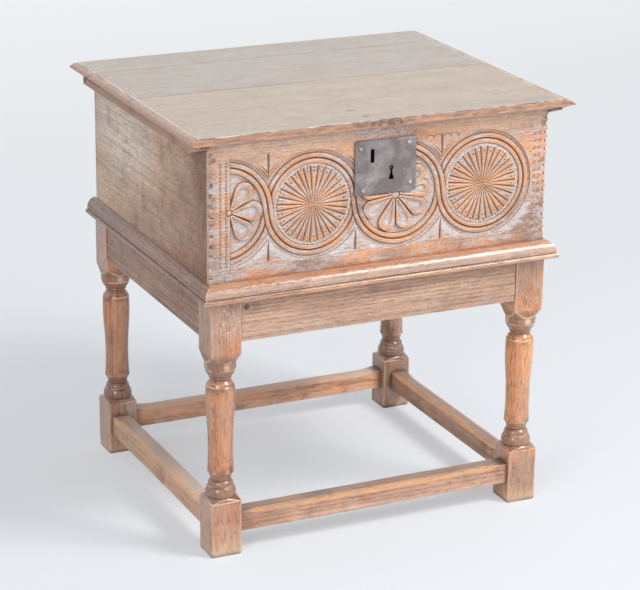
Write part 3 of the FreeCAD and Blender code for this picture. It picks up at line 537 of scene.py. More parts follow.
def leg_grid(heights):
    """Heights and angles of the leg's mesh, close together on its arrises and turnings."""
    fine = np.concatenate([np.linspace(0.6, 92, 26), np.arange(94, 350, 1.6),
                           np.linspace(352, 454.4, 26), heights[(heights > 93) & (heights < 351)]])
    levels = np.unique(np.round(np.concatenate([[0.0, LEG_TOP], fine]), 2))
    offsets = np.concatenate([np.linspace(-45, -6, 8), np.linspace(-4.5, 4.5, 7),
                              np.linspace(6, 45, 8)[:-1]])
    angles = np.radians(np.concatenate([45 + 90 * k + offsets for k in range(4)]))
    return np.meshgrid(levels, angles, indexing="ij")


def leg_marks(z, turn, lathe, square, chips, seed):
    """Wear on the foot and arrises, rims that are worn and painted highlight, darker necks and
    column ends, and bloom on the blocks and necks.
    """
    block = step(np.abs(z - 222), 118, 132)
    necks = np.maximum(step(z, 296, 303) * drop(z, 340, 352),
                       step(z, 92, 97) * drop(z, 134, 144))
    ends = np.maximum(drop(z, 144, 168), step(z, 272, 290)) * (z > 140) * (z < 296)
    # Pale rims and shoulders: wear and painted highlight.
    rims_worn_and_lit = np.max([drop(np.abs(z - level), 0.5, 1.6) for level in RIMS], axis=0)
    shoulder = drop(np.abs(square - lathe), 0.3, 1.5) * (z > 80) * (z < 364)
    rims_worn_and_lit = np.maximum(rims_worn_and_lit, 0.9 * shoulder)
    rims_worn_and_lit = rims_worn_and_lit * step(ripple(z * 0.5, turn * 30, 12, seed + 4), -0.6, 0.0)
    # Darker necks and column ends.
    darker_necks_and_ends = 0.5 * necks + ends * np.clip(0.25 + 0.5 * ripple(z, turn * 26, 9, seed + 3), 0, 1)
    patchy = np.clip(0.35 + 0.3 * ripple(z, turn * 30, 14, seed + 2), 0, 1)
    return {"wear": (0.7 * np.exp(-z / 20) + 0.35 * chips * (square < lathe) + rims_worn_and_lit).ravel(),
            "shade_and_dirt": (darker_necks_and_ends * (1 - rims_worn_and_lit)).ravel(),
            "bloom_and_painted_light": (np.maximum(block, 0.6 * necks) * patchy).ravel()}


def make_leg(node, across, deep, seed, material):
    """A leg turned between square blocks, with rubbed and dented arrises."""
    heights, radii = leg_profile()
    z, turn = leg_grid(heights)
    lathe = np.interp(z, heights, radii)
    lump = ripple(z, turn * 40, 26, seed)
    chips = np.clip(ripple(z, turn * 8, 7, seed + 1) - 0.35, 0, 1)
    corner = 1.5 + 0.7 * lump + 1.6 * chips + 1.6 * np.exp(-z / 16)
    square = square_radius(turn, LEG_HALF, np.clip(corner, 0.6, 6))
    # The smaller of the two radii, with a soft change from one to the other.
    sharp = 1.6
    radius = -np.log(np.exp(-sharp * (lathe - 20)) + np.exp(-sharp * (square - 20))) / sharp + 20
    radius -= 0.35 * (radius > 30) * np.clip(lump, 0, 1)
    radius -= np.where(z < 1, 0.8, 0) + np.where(z > LEG_TOP - 1, 0.5, 0)
    points = np.stack([across + radius * np.cos(turn), deep + radius * np.sin(turn), z], -1)
    index = np.arange(z.size).reshape(z.shape)
    right = np.roll(index, -1, 1)
    faces = np.stack([index[:-1], right[:-1], right[1:], index[1:]], -1).reshape(-1, 4).tolist()
    faces += [index[0][::-1].tolist(), index[-1].tolist()]
    marks = leg_marks(z, turn, lathe, square, chips, seed)
    make_piece(node, points.reshape(-1, 3), faces, material, "case", marks,
               sharp=50, rounds=6, depth=0.8)


# Carved front.
MIDDLES = (-275.75, -122.9, 29.4, 181.7)
HEART_Z = 579.0
STRAP_R, STRAP_HALF, LAST_STRAP_R = 75.5, 8.8, 77.0
LEAN = math.radians(8.0)
STRAIGHT = 10.8
GROUND = 4.0
BAND_R, CARVED_HALF, MARGIN_X = 89.6, 89, -264.6
WHEEL_R, SPOKES = 62.5, 31
# Each flower has its middle, its boss's radius and its petals: angle, reach and half width.
FLOWER = (np.array((23.8, 578.6)), 7.4,
          [(38, 64, 15.5), (5, 63, 15), (-31, 63, 15.5), (-70, 63, 15), (-108, 63, 15),
           (-153, 63, 15.5), (168, 62, 15), (128, 62, 15), (85, 62, 15)])
HALF_FLOWER = (np.array((-266.4, 581.0)), 5.4, [(50, 57, 16.5), (-2, 58, 16.5), (-52, 57, 16.5)])
DARTS = (-199.5, -47.0, 106.0)
DART_UNDER_LOCK = DARTS[1]


def strap_profile(distance):
    """Depth across the interlaced strap: a middle groove between two crowned ribs."""
    groove = 3.2 * drop(distance, 0.2, 2.3)
    crown = 0.5 * ((distance - 4.9) / 3.2) ** 2
    edge = (GROUND - 0.5) * step(distance, 7.6, STRAP_HALF + 0.2)
    return 0.3 + np.clip(crown, 0, 0.6) + groove + edge


def strap_distances(x, z):
    """Distance to each of the two straps, the one that falls to the right first."""
    falling = np.full(x.shape, 99.0)
    rising = np.full(x.shape, 99.0)
    for first, second in zip(MIDDLES, MIDDLES[1:]):
        inside = (x >= first) & (x < second)
        cross = (first + second) / 2
        left = np.abs(np.hypot(x - first, z - HEART_Z) - STRAP_R)
        right = np.abs(np.hypot(x - second, z - HEART_Z) - STRAP_R)
        for store, way in ((falling, -1), (rising, 1)):
            run = (x - cross) * math.sin(LEAN) + way * (z - HEART_Z) * math.cos(LEAN)
            off = np.abs((x - cross) * math.cos(LEAN) - way * (z - HEART_Z) * math.sin(LEAN))
            found = np.where(np.abs(run) <= STRAIGHT, off, np.where(run < 0, left, right))
            store[inside] = found[inside]
    end = x >= MIDDLES[-1]
    ring = np.abs(np.hypot((x - MIDDLES[-1]) * STRAP_R / LAST_STRAP_R, z - HEART_Z) - STRAP_R)
    falling[end] = ring[end]
    return falling, rising


def capsule(x, z, start, end, first, last):
    """Signed distance to a petal: round ends of two radii with straight flanks."""
    dx, dz = end[0] - start[0], end[1] - start[1]
    length = math.hypot(dx, dz)
    u = ((x - start[0]) * dx + (z - start[1]) * dz) / length
    v = np.abs((z - start[1]) * dx - (x - start[0]) * dz) / length
    slope = (first - last) / length
    slant = math.sqrt(1 - slope * slope)
    share = u * slant - v * slope
    near = np.hypot(u, v) - first
    far = np.hypot(u - length, v) - last
    flank = v * slant + u * slope - first
    return np.where(share < 0, near, np.where(share > length * slant, far, flank))


def wheel_depth(x, z, middle, radius, spokes, seed):
    """A round of tapering rays, each with a punched dot near its chipped end."""
    dx, dz = x - middle[0], z - middle[1]
    r = np.hypot(dx, dz)
    angle = np.arctan2(dz, dx)
    wobble = 0.02 * ripple(np.round(angle / (2 * math.pi) * spokes) * 7, r * 0, 5, seed)
    share = (angle + wobble) / (2 * math.pi) * spokes
    slot = np.abs(share - np.round(share))
    pitch = 2 * math.pi * np.maximum(r, 2) / spokes
    half = 0.5 + 2.2 * step(r, 4, radius)
    groove = np.clip(1 - slot * pitch / half, 0, 1)
    depth = 0.45 + groove * (1.6 + 2.4 * step(r, 4, radius)) * step(r, 5, 10)
    star = np.abs(share * 10 / spokes - np.round(share * 10 / spokes)) * 2 * math.pi * r / 10
    depth = depth + 2.2 * np.clip(1 - star / 1.1, 0, 1) * drop(r, 7, 12)
    centre = np.abs(np.abs(share - np.floor(share)) - 0.5) * pitch
    dot = np.hypot(centre, r - radius * 0.87)
    depth = depth + 1.8 * drop(dot, 0.5, 1.8)
    tooth = radius - 3.4 * drop(centre, 0.8, 3.2) + 0.9 * ripple(angle * radius, r * 0, 4, seed + 2)
    end = step(r, tooth - 0.8, tooth + 0.8)
    depth = depth * (1 - end) + (2.3 + 0.7 * ripple(x, z, 3.0, seed + 3)) * end
    # The second value is grey bloom and painted sheen in the ring gap, the grooves and the hub.
    return depth, np.maximum(end, np.maximum(0.55 * groove, 0.25 * drop(r, 2, 6)))


def flower_depth(x, z, boss, boss_radius, petals):
    """A flower: a round boss and scooped petals with broad raised rims, on sunk ground."""
    depth = np.full(x.shape, GROUND + 0.6)
    # Grey bloom and painted sheen on the sunk ground and in the petals' bowls.
    grey = np.full(x.shape, 0.7)
    for angle, reach, fat in petals:
        ray = np.array((math.cos(math.radians(angle)), math.sin(math.radians(angle))))
        skin = capsule(x, z, boss + ray * (boss_radius + 1), boss + ray * (reach - fat), 2.6, fat)
        bowl = capsule(x, z, boss + ray * (boss_radius + 4), boss + ray * (reach - fat - 1.5),
                       1.3, fat - 7.2)
        rim = 0.35 + 0.35 * np.clip(-skin / 4 - 1, -1, 1) ** 2
        rim += (GROUND + 0.2) * step(skin, -1.1, 0)
        hollow = 0.5 + 3.6 * (1 - np.exp(np.minimum(bowl, 0) / 1.4)) - 0.09 * np.clip(-bowl, 0, 9)
        depth = np.where(skin < 0, np.minimum(depth, np.where(bowl < 0, hollow, rim)), depth)
        from_boss = np.hypot(x - boss[0], z - boss[1])
        fade = 0.7 * drop(from_boss, boss_radius + 4, boss_radius + 18)
        grey = np.where(skin < 0, np.maximum(0.95 * step(-bowl, 0.3, 1.6), fade), grey)
    return depth, grey


def boss_depth(x, z, middle, radius, depth):
    """A round knob left standing in a cut ring."""
    r = np.hypot(x - middle[0], z - middle[1])
    depth = np.where(r < radius + 0.5, np.maximum(depth, GROUND - 1.0), depth)
    return np.where(r < radius, 0.1 + (GROUND - 1.2) * (r / radius) ** 2.4, depth)


def dart(x, z, middle, foot, tip, half):
    """Depth of a leaf-shaped cut that points from foot to tip."""
    share = (z - foot) / (tip - foot)
    wide = half * np.clip(share * 6, 0, 1) ** 0.6 * (1 - np.clip(share, 0, 1)) ** 0.8
    inside = (share > 0) & (share < 1)
    return np.where(inside, 2.6 * np.clip(1 - np.abs(x - middle) / np.maximum(wide, 0.1), 0, 1), 0)


def ring_punch(x, z, places, radius):
    depth = np.zeros(x.shape)
    for px, pz in places:
        near = (np.abs(x - px) < radius + 2) & (np.abs(z - pz) < radius + 2)
        r = np.hypot(x[near] - px, z[near] - pz)
        depth[near] = np.maximum(depth[near], 1.6 * drop(np.abs(r - radius), 0.1, 0.75))
    return depth


class Relief:
    """The carving's depth over the board, with marks for its grey ground, bloom with painted sheen,
    and for painted shade in its cuts.
    """

    def __init__(self, x, z):
        self.x, self.z = x, z
        self.away = np.abs(z - HEART_Z)
        self.falling, self.rising = strap_distances(x, z)
        self.nearest = np.min([np.hypot(x - c, z - HEART_Z) for c in MIDDLES], axis=0)
        self.framed = x > MARGIN_X
        self.on_strap = (np.minimum(self.falling, self.rising) < STRAP_HALF) & self.framed
        self.depth = np.full(x.shape, 0.25)
        self.grey, self.dark = np.zeros(x.shape), np.zeros(x.shape)

    def cut(self, depth):
        self.depth = np.maximum(self.depth, depth)


def sink_bands(r):
    """The sunk band that follows the straps, the grey below it and the feathered arcs above; the
    grey is bloom with painted sheen, paler below the heart line as painted light.
    """
    band = r.framed & (r.away < CARVED_HALF)
    outer = r.nearest - (STRAP_R + STRAP_HALF)
    sunk = band & (outer > -2) & (r.nearest < BAND_R)
    sunk = sunk | (band & (r.away < 47.7) & (outer > -2) & (r.x < MIDDLES[-1]))
    slope = GROUND - 1.7 * np.clip(outer / 5.5, 0, 1)
    r.depth = np.where(sunk, slope, r.depth)
    # Grey bloom and painted sheen on the sunk band, with more of it below the heart line as painted
    # light on ground that faces up.
    r.grey = np.where(sunk, np.where(r.z < HEART_Z, 1.0, 0.6), 0.0)
    spandrel = band & (r.nearest > 84) & (r.z < HEART_Z - 42)
    r.grey = np.where(spandrel, np.maximum(r.grey, drop(r.nearest, 95, 108)), r.grey)
    line = np.minimum(np.abs(r.nearest - 92.0), np.abs(r.nearest - 96.0))
    upper = band & (r.nearest > BAND_R) & (r.z > HEART_Z) & (r.x < MIDDLES[-1])
    arcs = 2.0 * drop(r.away, 62, 84) * drop(line, 0.2, 1.5)
    r.depth = np.where(upper, np.maximum(r.depth, arcs), r.depth)


def fill_rounds(r):
    """A wheel or a flower in each round."""
    for k, middle in enumerate(MIDDLES):
        inner = np.hypot(r.x - middle, r.z - HEART_Z) < STRAP_R - STRAP_HALF + 1
        if k in (1, 3):
            heart = (middle, HEART_Z - 0.5 * (k == 3))
            field, pale = wheel_depth(r.x, r.z, heart, WHEEL_R, SPOKES, 40 + k)
        else:
            field, pale = flower_depth(r.x, r.z, *(FLOWER if k else HALF_FLOWER))
        r.depth = np.where(inner & r.framed, field, r.depth)
        r.grey = np.where(inner & r.framed, pale, r.grey)
    r.ground = r.depth > 1.5


def lay_straps(r):
    """The interlaced straps, the falling one above."""
    lower = strap_profile(r.rising) + 0.9 * drop(r.falling, STRAP_HALF, STRAP_HALF + 5)
    under, over = (r.rising < STRAP_HALF) & r.framed, (r.falling < STRAP_HALF) & r.framed
    r.depth = np.where(under, lower, r.depth)
    r.depth = np.where(over, strap_profile(r.falling), r.depth)
    seam = under & (r.falling > STRAP_HALF) & (r.falling < STRAP_HALF + 1.3)
    r.depth = np.where(seam, r.depth + 0.9, r.depth)
    r.grey = np.where(r.on_strap, 0, r.grey)


def cut_darts(r):
    """Darts with painted shade inside, in the corners left by the rounds, with leaf cuts at their
    feet.
    """
    for middle in DARTS:
        cut = dart(r.x, r.z, middle, 493, 529, 4.6)
        if middle != DART_UNDER_LOCK:
            cut = np.maximum(cut, dart(r.x, r.z, middle, 671, 632, 5.4))
        cut = np.where(r.on_strap, 0, cut)
        r.cut(cut)
        # Painted shade inside the darts.
        r.dark = np.maximum(r.dark, 0.5 * step(cut, 0.5, 2.0))
        for side in (-1, 1):
            leaf = np.hypot((r.x - middle - side * 14) / 9.0, (r.z - 497.0) / 3.0)
            r.cut(1.1 * drop(leaf, 0.4, 1.0))
            r.grey = np.maximum(r.grey, 0.8 * drop(leaf, 0.6, 1.2))


def mark_margins(r):
    """Scribed lines, scallops over the third dart and two columns of ring punches."""
    r.cut(1.4 * drop(np.abs(r.x - MARGIN_X), 0.3, 1.3) * (r.away < CARVED_HALF))
    r.cut(0.8 * drop(np.abs(r.z - 491), 0.2, 1.0) * (r.x > -264))
    for middle in (84, 97, 115, 128):
        rim = np.abs(np.hypot((r.x - middle) / 7.5, (r.z - 663) / 7.0) - 1.0) * 7.0
        r.cut(1.5 * drop(rim, 0.3, 1.3) * (r.z > 664))
    r.depth = boss_depth(r.x, r.z, HALF_FLOWER[0], 5.2, r.depth)
    left = [(px, pz) for px in (-281.4, -271.4) for pz in np.arange(494, 666, 5.4)]
    right = [(px, pz) for px in (277.9, 286.4) for pz in np.arange(494, 664, 12.2)]
    r.cut(ring_punch(r.x, r.z, left, 1.6))
    r.cut(ring_punch(r.x, r.z, right, 2.2))


def off_beat(z, start, pitch):
    """Distance to the nearest of even places."""
    return np.abs((z - start) / pitch - np.round((z - start) / pitch)) * pitch


def notch_ends(r):
    """Rough bites down the left end, and scallops with painted shade down the right one."""
    bite = np.hypot((r.x + BOARD_X) / 8.5, off_beat(r.z, 480, 16.4) / 5.6)
    bite = drop(bite + 0.5 * ripple(r.x, r.z, 5, 31), 0.2, 1.0) * (r.z > 476) * (r.z < 686)
    bite = bite * (0.75 + 0.35 * ripple(r.z, r.z * 0, 17, 35))
    r.cut(5.6 * bite)
    r.grey = np.maximum(r.grey, 0.55 * step(bite, 0.3, 0.8))
    bite = np.hypot((r.x - BOARD_X) / 8.0, off_beat(r.z, 484, 14.0) / 6.0)
    bite = drop(bite, 0.3, 1.0) * (r.z > 480) * (r.z < 680)
    r.cut(6.2 * bite)
    # Painted shade inside the right end's scallops.
    r.dark = np.maximum(r.dark, 0.3 * step(bite, 0.2, 0.7))


def carve(x, z):
    """The whole carving, from the sunk ground outwards."""
    r = Relief(x, z)
    sink_bands(r)
    fill_rounds(r)
    lay_straps(r)
    cut_darts(r)
    r.depth = boss_depth(x, z, (FLOWER[0][0], FLOWER[0][1] - 0.7), 7.2, r.depth)
    mark_margins(r)
    notch_ends(r)
    # No grey bloom where the cuts carry painted shade.
    r.grey = r.grey * (1 - r.dark)
    return r


CARVED_PITCH = 0.7
REBATE, LAP_X, CAP_LAP = 8, 285, 6
BOARD_THICK = BOARD_BACK - FACE_Y
NAIL_X, NAIL_SHARES = 293.0, (0.28, 0.62, 0.89)


def lines_between(stops, pitch):
    """Grid lines that pass through every stop, about a pitch apart."""
    found = [np.linspace(a, b, max(int(round((b - a) / pitch)), 1) + 1)[:-1]
             for a, b in zip(stops, stops[1:])]
    return np.concatenate(found + [[stops[-1]]])


def weather(r):
    """Tool marks on the ground, then knocks, worn edges, battered wood and the nails' wells."""
    x, z = r.x, r.z
    tool = ripple(x * 0.8 + z * 0.5, z * 0.8 - x * 0.5, 2.6, 3) * 0.22
    r.depth += np.where(r.ground, tool, 0.05 * ripple(x, z, 3.0, 4))
    r.depth += 0.35 * (1 + ripple(x, z, 55.0, 5)) * 0.5
    knocks = np.clip(ripple(x, z, 4.5, 6) - 0.62, 0, 1) * np.where(z > 667, 0.7, 1.6)
    r.depth += knocks
    r.edge = np.minimum.reduce([x + BOARD_X, BOARD_X - x, z - BOARD_FOOT, BOARD_TOP - z])
    worn = 1.3 + 0.7 * ripple(x, z, 18, 7)
    r.depth += worn * drop(r.edge, 0, 2.2) ** 2
    r.battered = drop(np.hypot((x - 3) / 62, (z - 684) / 11), 0.5, 1.1)
    r.depth += 1.3 * r.battered * np.clip(ripple(x, z, 3.2, 8) + 0.15, 0, 1)
    for nail_x in (-NAIL_X, NAIL_X):
        for share in NAIL_SHARES:
            nail_z = BOARD_FOOT + (BOARD_TOP - BOARD_FOOT) * share
            well = np.maximum(np.abs(x - nail_x), np.abs(z - nail_z))
            r.depth = np.where(well < 3.7, 0.12 + 0.5 * step(well, 3.0, 3.7), r.depth)
    r.depth = np.clip(r.depth, 0.05, 6.4)


def face_bloom_and_lit_ground(r):
    """Grey bloom with painted sheen on the ground, paler below as painted light, and grey bloom on
    the punched margins and the battered places.
    """
    margins = (np.abs(r.x + 276.4) < 8) | (np.abs(r.x - 282) < 8)
    patchy = step(ripple(r.x, r.z, 3.1, 33), -0.1, 0.4)
    grey = np.maximum(r.grey, 0.6 * margins * (r.edge > 2) * patchy)
    distress = np.clip(ripple(r.x, r.z, 5, 12) - 0.3, 0, 1) * (r.z < 490) * 0.5
    return grey * (0.95 + 0.3 * ripple(r.x, r.z, 9, 11)) + (distress + r.battered * 0.7)


def board_shell(index, hole, spans, first):
    """Rebated back, ends and the walls of the lock's hole, joined to the face's grid."""
    (i0, i1), (k0, k1) = spans
    lap = [(-BOARD_X, REBATE), (-LAP_X, REBATE), (-LAP_X, BOARD_THICK),
           (LAP_X, BOARD_THICK), (LAP_X, REBATE), (BOARD_X, REBATE)]
    back = [(px, FACE_Y + deep, pz) for pz in (BOARD_FOOT, BOARD_TOP) for px, deep in lap]
    corners = ((0, 2), (1, 2), (1, 3), (0, 3))
    back += [(hole[a], FACE_Y + BOARD_THICK, hole[b]) for a, b in corners]
    low, high, around = (list(range(first + k, first + k + count))
                         for k, count in ((0, 6), (6, 6), (12, 4)))
    faces = [index[::-1, 0].tolist() + low, index[:, -1].tolist() + high[::-1],
             index[0].tolist() + [high[0], low[0]], index[-1][::-1].tolist() + [low[5], high[5]]]
    faces += [[low[a], high[a], high[a + 1], low[a + 1]] for a in (0, 1, 3, 4)]
    b0, b1, b2, b3 = around
    faces += [[low[2], b0, b1, low[3]], [low[3], b1, b2, high[3]],
              [high[3], b2, b3, high[2]], [high[2], b3, b0, low[2]]]
    faces.append(index[i0:i1 + 1, k0].tolist() + [b1, b0])
    faces.append(index[i0:i1 + 1, k1][::-1].tolist() + [b3, b2])
    faces.append(index[i0, k0:k1 + 1][::-1].tolist() + [b0, b3])
    faces.append(index[i1, k0:k1 + 1].tolist() + [b2, b1])
    return np.array(back, float), faces


def make_front(material):
    """The carved front board: a relief on its face, lapped ends and the lock's hole."""
    (cap_left, _, cap_foot), (cap_right, _, cap_top) = limits("lock_cap")
    hole = (cap_left + CAP_LAP, cap_right - CAP_LAP, cap_foot + CAP_LAP, cap_top - CAP_LAP)
    xs = lines_between([-BOARD_X, -LAP_X, *hole[:2], LAP_X, BOARD_X], CARVED_PITCH)
    zs = lines_between([BOARD_FOOT, *hole[2:], BOARD_TOP], CARVED_PITCH)
    r = carve(*np.meshgrid(xs, zs, indexing="ij"))
    weather(r)
    index = np.arange(r.x.size).reshape(r.x.shape)
    i0, i1 = (int(np.argmin(np.abs(xs - v))) for v in hole[:2])
    k0, k1 = (int(np.argmin(np.abs(zs - v))) for v in hole[2:])
    cells = np.ones((len(xs) - 1, len(zs) - 1), bool)
    cells[i0:i1, k0:k1] = False
    quads = np.stack([index[:-1, :-1], index[1:, :-1], index[1:, 1:], index[:-1, 1:]], -1)
    back, faces = board_shell(index, hole, ((i0, i1), (k0, k1)), index.size)
    points = np.stack([r.x, FACE_Y + r.depth, r.z], -1).reshape(-1, 3)
    points = np.concatenate([points, back])
    used = np.ones(r.x.shape, bool)
    used[i0 + 1:i1, k0 + 1:k1] = False
    keep = np.concatenate([used.ravel(), np.ones(len(back), bool)])
    fresh = np.cumsum(keep) - 1
    faces = [[int(fresh[v]) for v in face] for face in quads[cells].tolist() + faces]
    clean = np.zeros(len(back))
    # Grey bloom with painted sheen and painted light, and the painted shade of the cuts.
    bloom_and_painted_light = np.concatenate([face_bloom_and_lit_ground(r).ravel(), clean])
    dark = np.concatenate([r.dark.ravel(), clean])
    marks = {"bloom_and_painted_light": np.clip(bloom_and_painted_light[keep], 0, 1), "shade_and_dirt": dark[keep]}
    make_piece("box_front", points[keep], faces, material, "case", marks,
               sharp=70, rounds=6, depth=0.75)


# Lid boards.
(_, LID_FRONT, LID_FOOT), (LID_X, _, LID_TOP) = limits("lid_board_front")
LID_BACK = limits("lid_board_back")[1][1]
LID_CELL, EDGE_WIDE, EDGE_FALL = 2.4, 13.0, 6.2
EDGE_STEPS = (0, 0.25, 0.8, 1.6, 2.6, 4, 5.6, 7.4, 9.2, 10.8, 12, 12.9, 13.1, 14, 15.6)
JOINT_STEPS = (0, 0.4, 1.2, 2.2)
LID_NAIL_X = 311.25
LID_NAILS = {"lid_board_front": (-211.2, -172.7, -85.2, -50.1),
             "lid_board_middle": (53.4, 70.4, 151.4, 177.8), "lid_board_back": (222.3,)}
LID_SPOTS = ((-24.5, -138.5, 7), (-31, -199.5, 9), (-24.5, -238.5, 9), (-22, -170, 5))


def lid_edge(distance, wear):
    """Fall of the thumb moulding below the lid's top, by distance from its outer edge."""
    share = np.clip((EDGE_WIDE - distance) / EDGE_WIDE, 0, 1)
    nose = 1.2 + 5.0 * share + wear - 4 * 1.9 * share * (1 - share)
    return np.where(distance < EDGE_WIDE, np.clip(nose, 0.9, EDGE_FALL), 0)


def lid_grid(start, end):
    """Grid lines over a board, close together on moulded edges and joints."""
    xs = [side * (LID_X - v) for side in (-1, 1) for v in EDGE_STEPS]
    xs += list(np.arange(-318, 319, LID_CELL))
    ys = list(np.arange(start + 3.1, end - 2.9, LID_CELL))
    ys += [start + v for v in JOINT_STEPS] + [end - v for v in JOINT_STEPS]
    if start == LID_FRONT:
        ys = [v for v in ys if v > start + 16.4] + [start + v for v in EDGE_STEPS]
    return np.meshgrid(np.array(sorted(xs)), np.array(sorted(ys)), indexing="ij")


def lid_face(node, start, end, seed):
    """A board's grid with the distances that its shape and its marks share."""
    x, y = lid_grid(start, end)
    sides, front = LID_X - np.abs(x), y - LID_FRONT
    gap = np.minimum(np.where(start > LID_FRONT, y - start, 99),
                     np.where(end < LID_BACK, end - y, 99))
    blots = 0.5 * ripple(x, y, 4, seed + 5)
    return SimpleNamespace(
        node=node, seed=seed, x=x, y=y, sides=sides, front=front, gap=gap,
        outer=np.minimum(sides, front),
        wavy=0.5 * ripple(x, y, 34, seed) + 0.4 * ripple(x, y, 9, seed + 1),
        spots=[np.hypot((x - px) / wide, (y - py) / (wide * 0.7)) + blots
               for px, py, wide in LID_SPOTS])


def lid_fall(b):
    """How far the face lies below the lid's top: moulding, joints, dips, chips and dents."""
    fall = lid_edge(b.outer + b.wavy * 0.8 * (b.outer > 3), 0.3 * np.clip(b.wavy, 0, 1))
    fall += (0.7 + 0.4 * ripple(b.x, b.y, 40, b.seed + 2)) * drop(b.gap, 0, 1.6)
    fall += 0.35 * drop(LID_BACK - b.y, 0, 3)
    fall += 0.22 * (1 + ripple(b.x * 0.3, b.y, 28, b.seed + 3)) * (b.outer > EDGE_WIDE)
    chips = np.clip(ripple(b.x, b.y, 6, b.seed + 4) - 0.45, 0, 1)
    fall += 2.2 * chips * drop(np.abs(b.outer - 12), 1, 4)
    for spot in b.spots:
        fall += 0.4 * drop(spot, 0.2, 0.8)
    return fall


def lid_dirt_and_groove_shadow(b):
    """Dark joints, dents, nail stains, a bruise, a knot and painted shadow in the groove behind the
    moulding.
    """
    dirt = [0.5 * drop(b.gap, 0, 1.4)] + [0.75 * drop(spot, 0.3, 1.0) for spot in b.spots]
    uneven = 0.5 * ripple(b.x, b.y, 5, b.seed + 8)
    for nail_y in LID_NAILS[b.node]:
        smudge = np.hypot((np.abs(b.x) - LID_NAIL_X) / 11, (b.y - nail_y) / 6) + uneven
        dirt.append(0.4 * drop(smudge, 0.2, 1.0))
    bruise = (b.x > -66) & (b.x < 22) & (b.front < 17)
    dirt.append(bruise * np.clip(0.5 + 0.6 * ripple(b.x, b.y, 5, b.seed + 6), 0, 1))
    dirt.append(0.6 * drop(np.hypot((b.x - 274) / 9, (b.y + 6.5) / 5), 0.2, 1.0))
    # Painted shadow in the groove behind the moulding, darker at the front than on the sides.
    groove = drop(np.abs(b.outer - 12.0 - 0.5 * b.wavy), 0.3, 1.3)
    dirt.append((0.8 - 0.55 * (b.sides < b.front)) * groove)
    return np.max(dirt, axis=0)


def lid_highlight_and_seam(b):
    """A painted highlight line behind the moulding, and a pale line along the first joint."""
    on_side = b.sides < b.front
    # The painted highlight line behind the moulding, wider on the sides.
    line = np.abs(b.outer - 13.7 - 0.5 * b.wavy)
    line = drop(line, 0.5 + 0.6 * on_side, 1.5 + 0.9 * on_side)
    line = line * step(ripple(b.x, b.y, 30, b.seed + 7), -0.6, -0.2)
    seam = drop(np.abs(b.y - 1.2), 0.8, 2.2) * (b.x > -323) * drop(b.x, -150, -100)
    return line + (b.node == "lid_board_front") * seam


def lid_wear(b):
    """The orange line along the second joint."""
    line = (b.node == "lid_board_middle") * drop(np.abs(b.y - 189.2), 0.8, 2.4)
    return line * step(ripple(b.x, b.y * 0, 26, b.seed + 9), -0.7, 0.1)


def make_lid_board(node, start, end, seed, material):
    """A lid board with its worn thumb moulding, rounded joints, splits and dents."""
    b = lid_face(node, start, end, seed)
    share = np.minimum(np.clip(b.sides / 15.0, 0, 1), np.clip(b.front / 15.0, 0, 1))
    rise = 7.5 * (1 - share) + 4 * 0.8 * share * (1 - share)
    index = np.arange(b.x.size).reshape(b.x.shape)
    high = np.stack([b.x, b.y, LID_TOP - lid_fall(b)], -1).reshape(-1, 3)
    low = np.stack([b.x, b.y, LID_FOOT + rise], -1).reshape(-1, 3)
    top = np.stack([index[:-1, :-1], index[1:, :-1], index[1:, 1:], index[:-1, 1:]], -1)
    faces = top.reshape(-1, 4).tolist() + (top[..., ::-1] + index.size).reshape(-1, 4).tolist()
    border = np.concatenate([index[:-1, 0], index[-1, :-1], index[:0:-1, -1], index[0, :0:-1]])
    ring = np.roll(border, -1)
    faces += np.stack([border + index.size, ring + index.size, ring, border], -1).tolist()
    none = np.zeros(b.x.shape)
    marks = {"shade_and_dirt": (lid_dirt_and_groove_shadow(b), none), "bloom_and_painted_light": (lid_highlight_and_seam(b), none),
             "wear": (lid_wear(b), none), "raw": (none, share >= 1),
             "moulded": (drop(b.outer, 11.8, 13.2), share < 1)}
    marks = {key: np.concatenate([v.ravel() for v in pair]) for key, pair in marks.items()}
    make_piece(node, np.concatenate([high, low]), faces, material, "lid", marks,
               sharp=60, rounds=3, depth=1.6)


# Dressing the CAD nodes.
def dress(names, material, width):
    """Gives carried-over nodes their finish and, where a width is given, a softened arris."""
    for node in (NODES[name] for name in names):
        node.data.materials.clear()
        node.data.materials.append(material)
        if width:
            weld = node.modifiers.new("weld", "WELD")
            weld.merge_threshold = 0.00001
            bevel = node.modifiers.new("bevel", "BEVEL")
            bevel.width, bevel.segments = width * MM, 2
            bevel.limit_method, bevel.angle_limit = "ANGLE", math.radians(40)
            node.modifiers.new("shade", "WEIGHTED_NORMAL").keep_sharp = True


# Floor and world.
FLOOR_HALF = 14


def make_floor():
    """A pale floor that keeps the shadow and glows a little for the camera far behind."""
    s = new_material("stage_paper")
    y = s.add("SeparateXYZ", Vector=s.here).outputs[1]
    colour = s.mix(s.remap(y, -0.2, 3.5), srgb(233, 237, 242), srgb(250, 253, 255))
    lit = s.surface(colour, 0.9, s.noise(200, 2), 0.00005)
    glow = s.add("Emission", Color=colour)
    seen = s.times(s.add("LightPath").outputs["Is Camera Ray"], s.remap(y, 0.4, 6.0, 0.45, 0.95))
    paper = s.finish(s.blend(seen, lit, glow))
    far = FLOOR_HALF
    mesh = bpy.data.meshes.new("floor")
    mesh.from_pydata([(-far, -far, 0), (far, -far, 0), (far, far, 0), (-far, far, 0)], [],
                     [(0, 1, 2, 3)])
    mesh.materials.append(paper)
    floor = bpy.data.objects.new("floor", mesh)
    bpy.context.scene.collection.objects.link(floor)


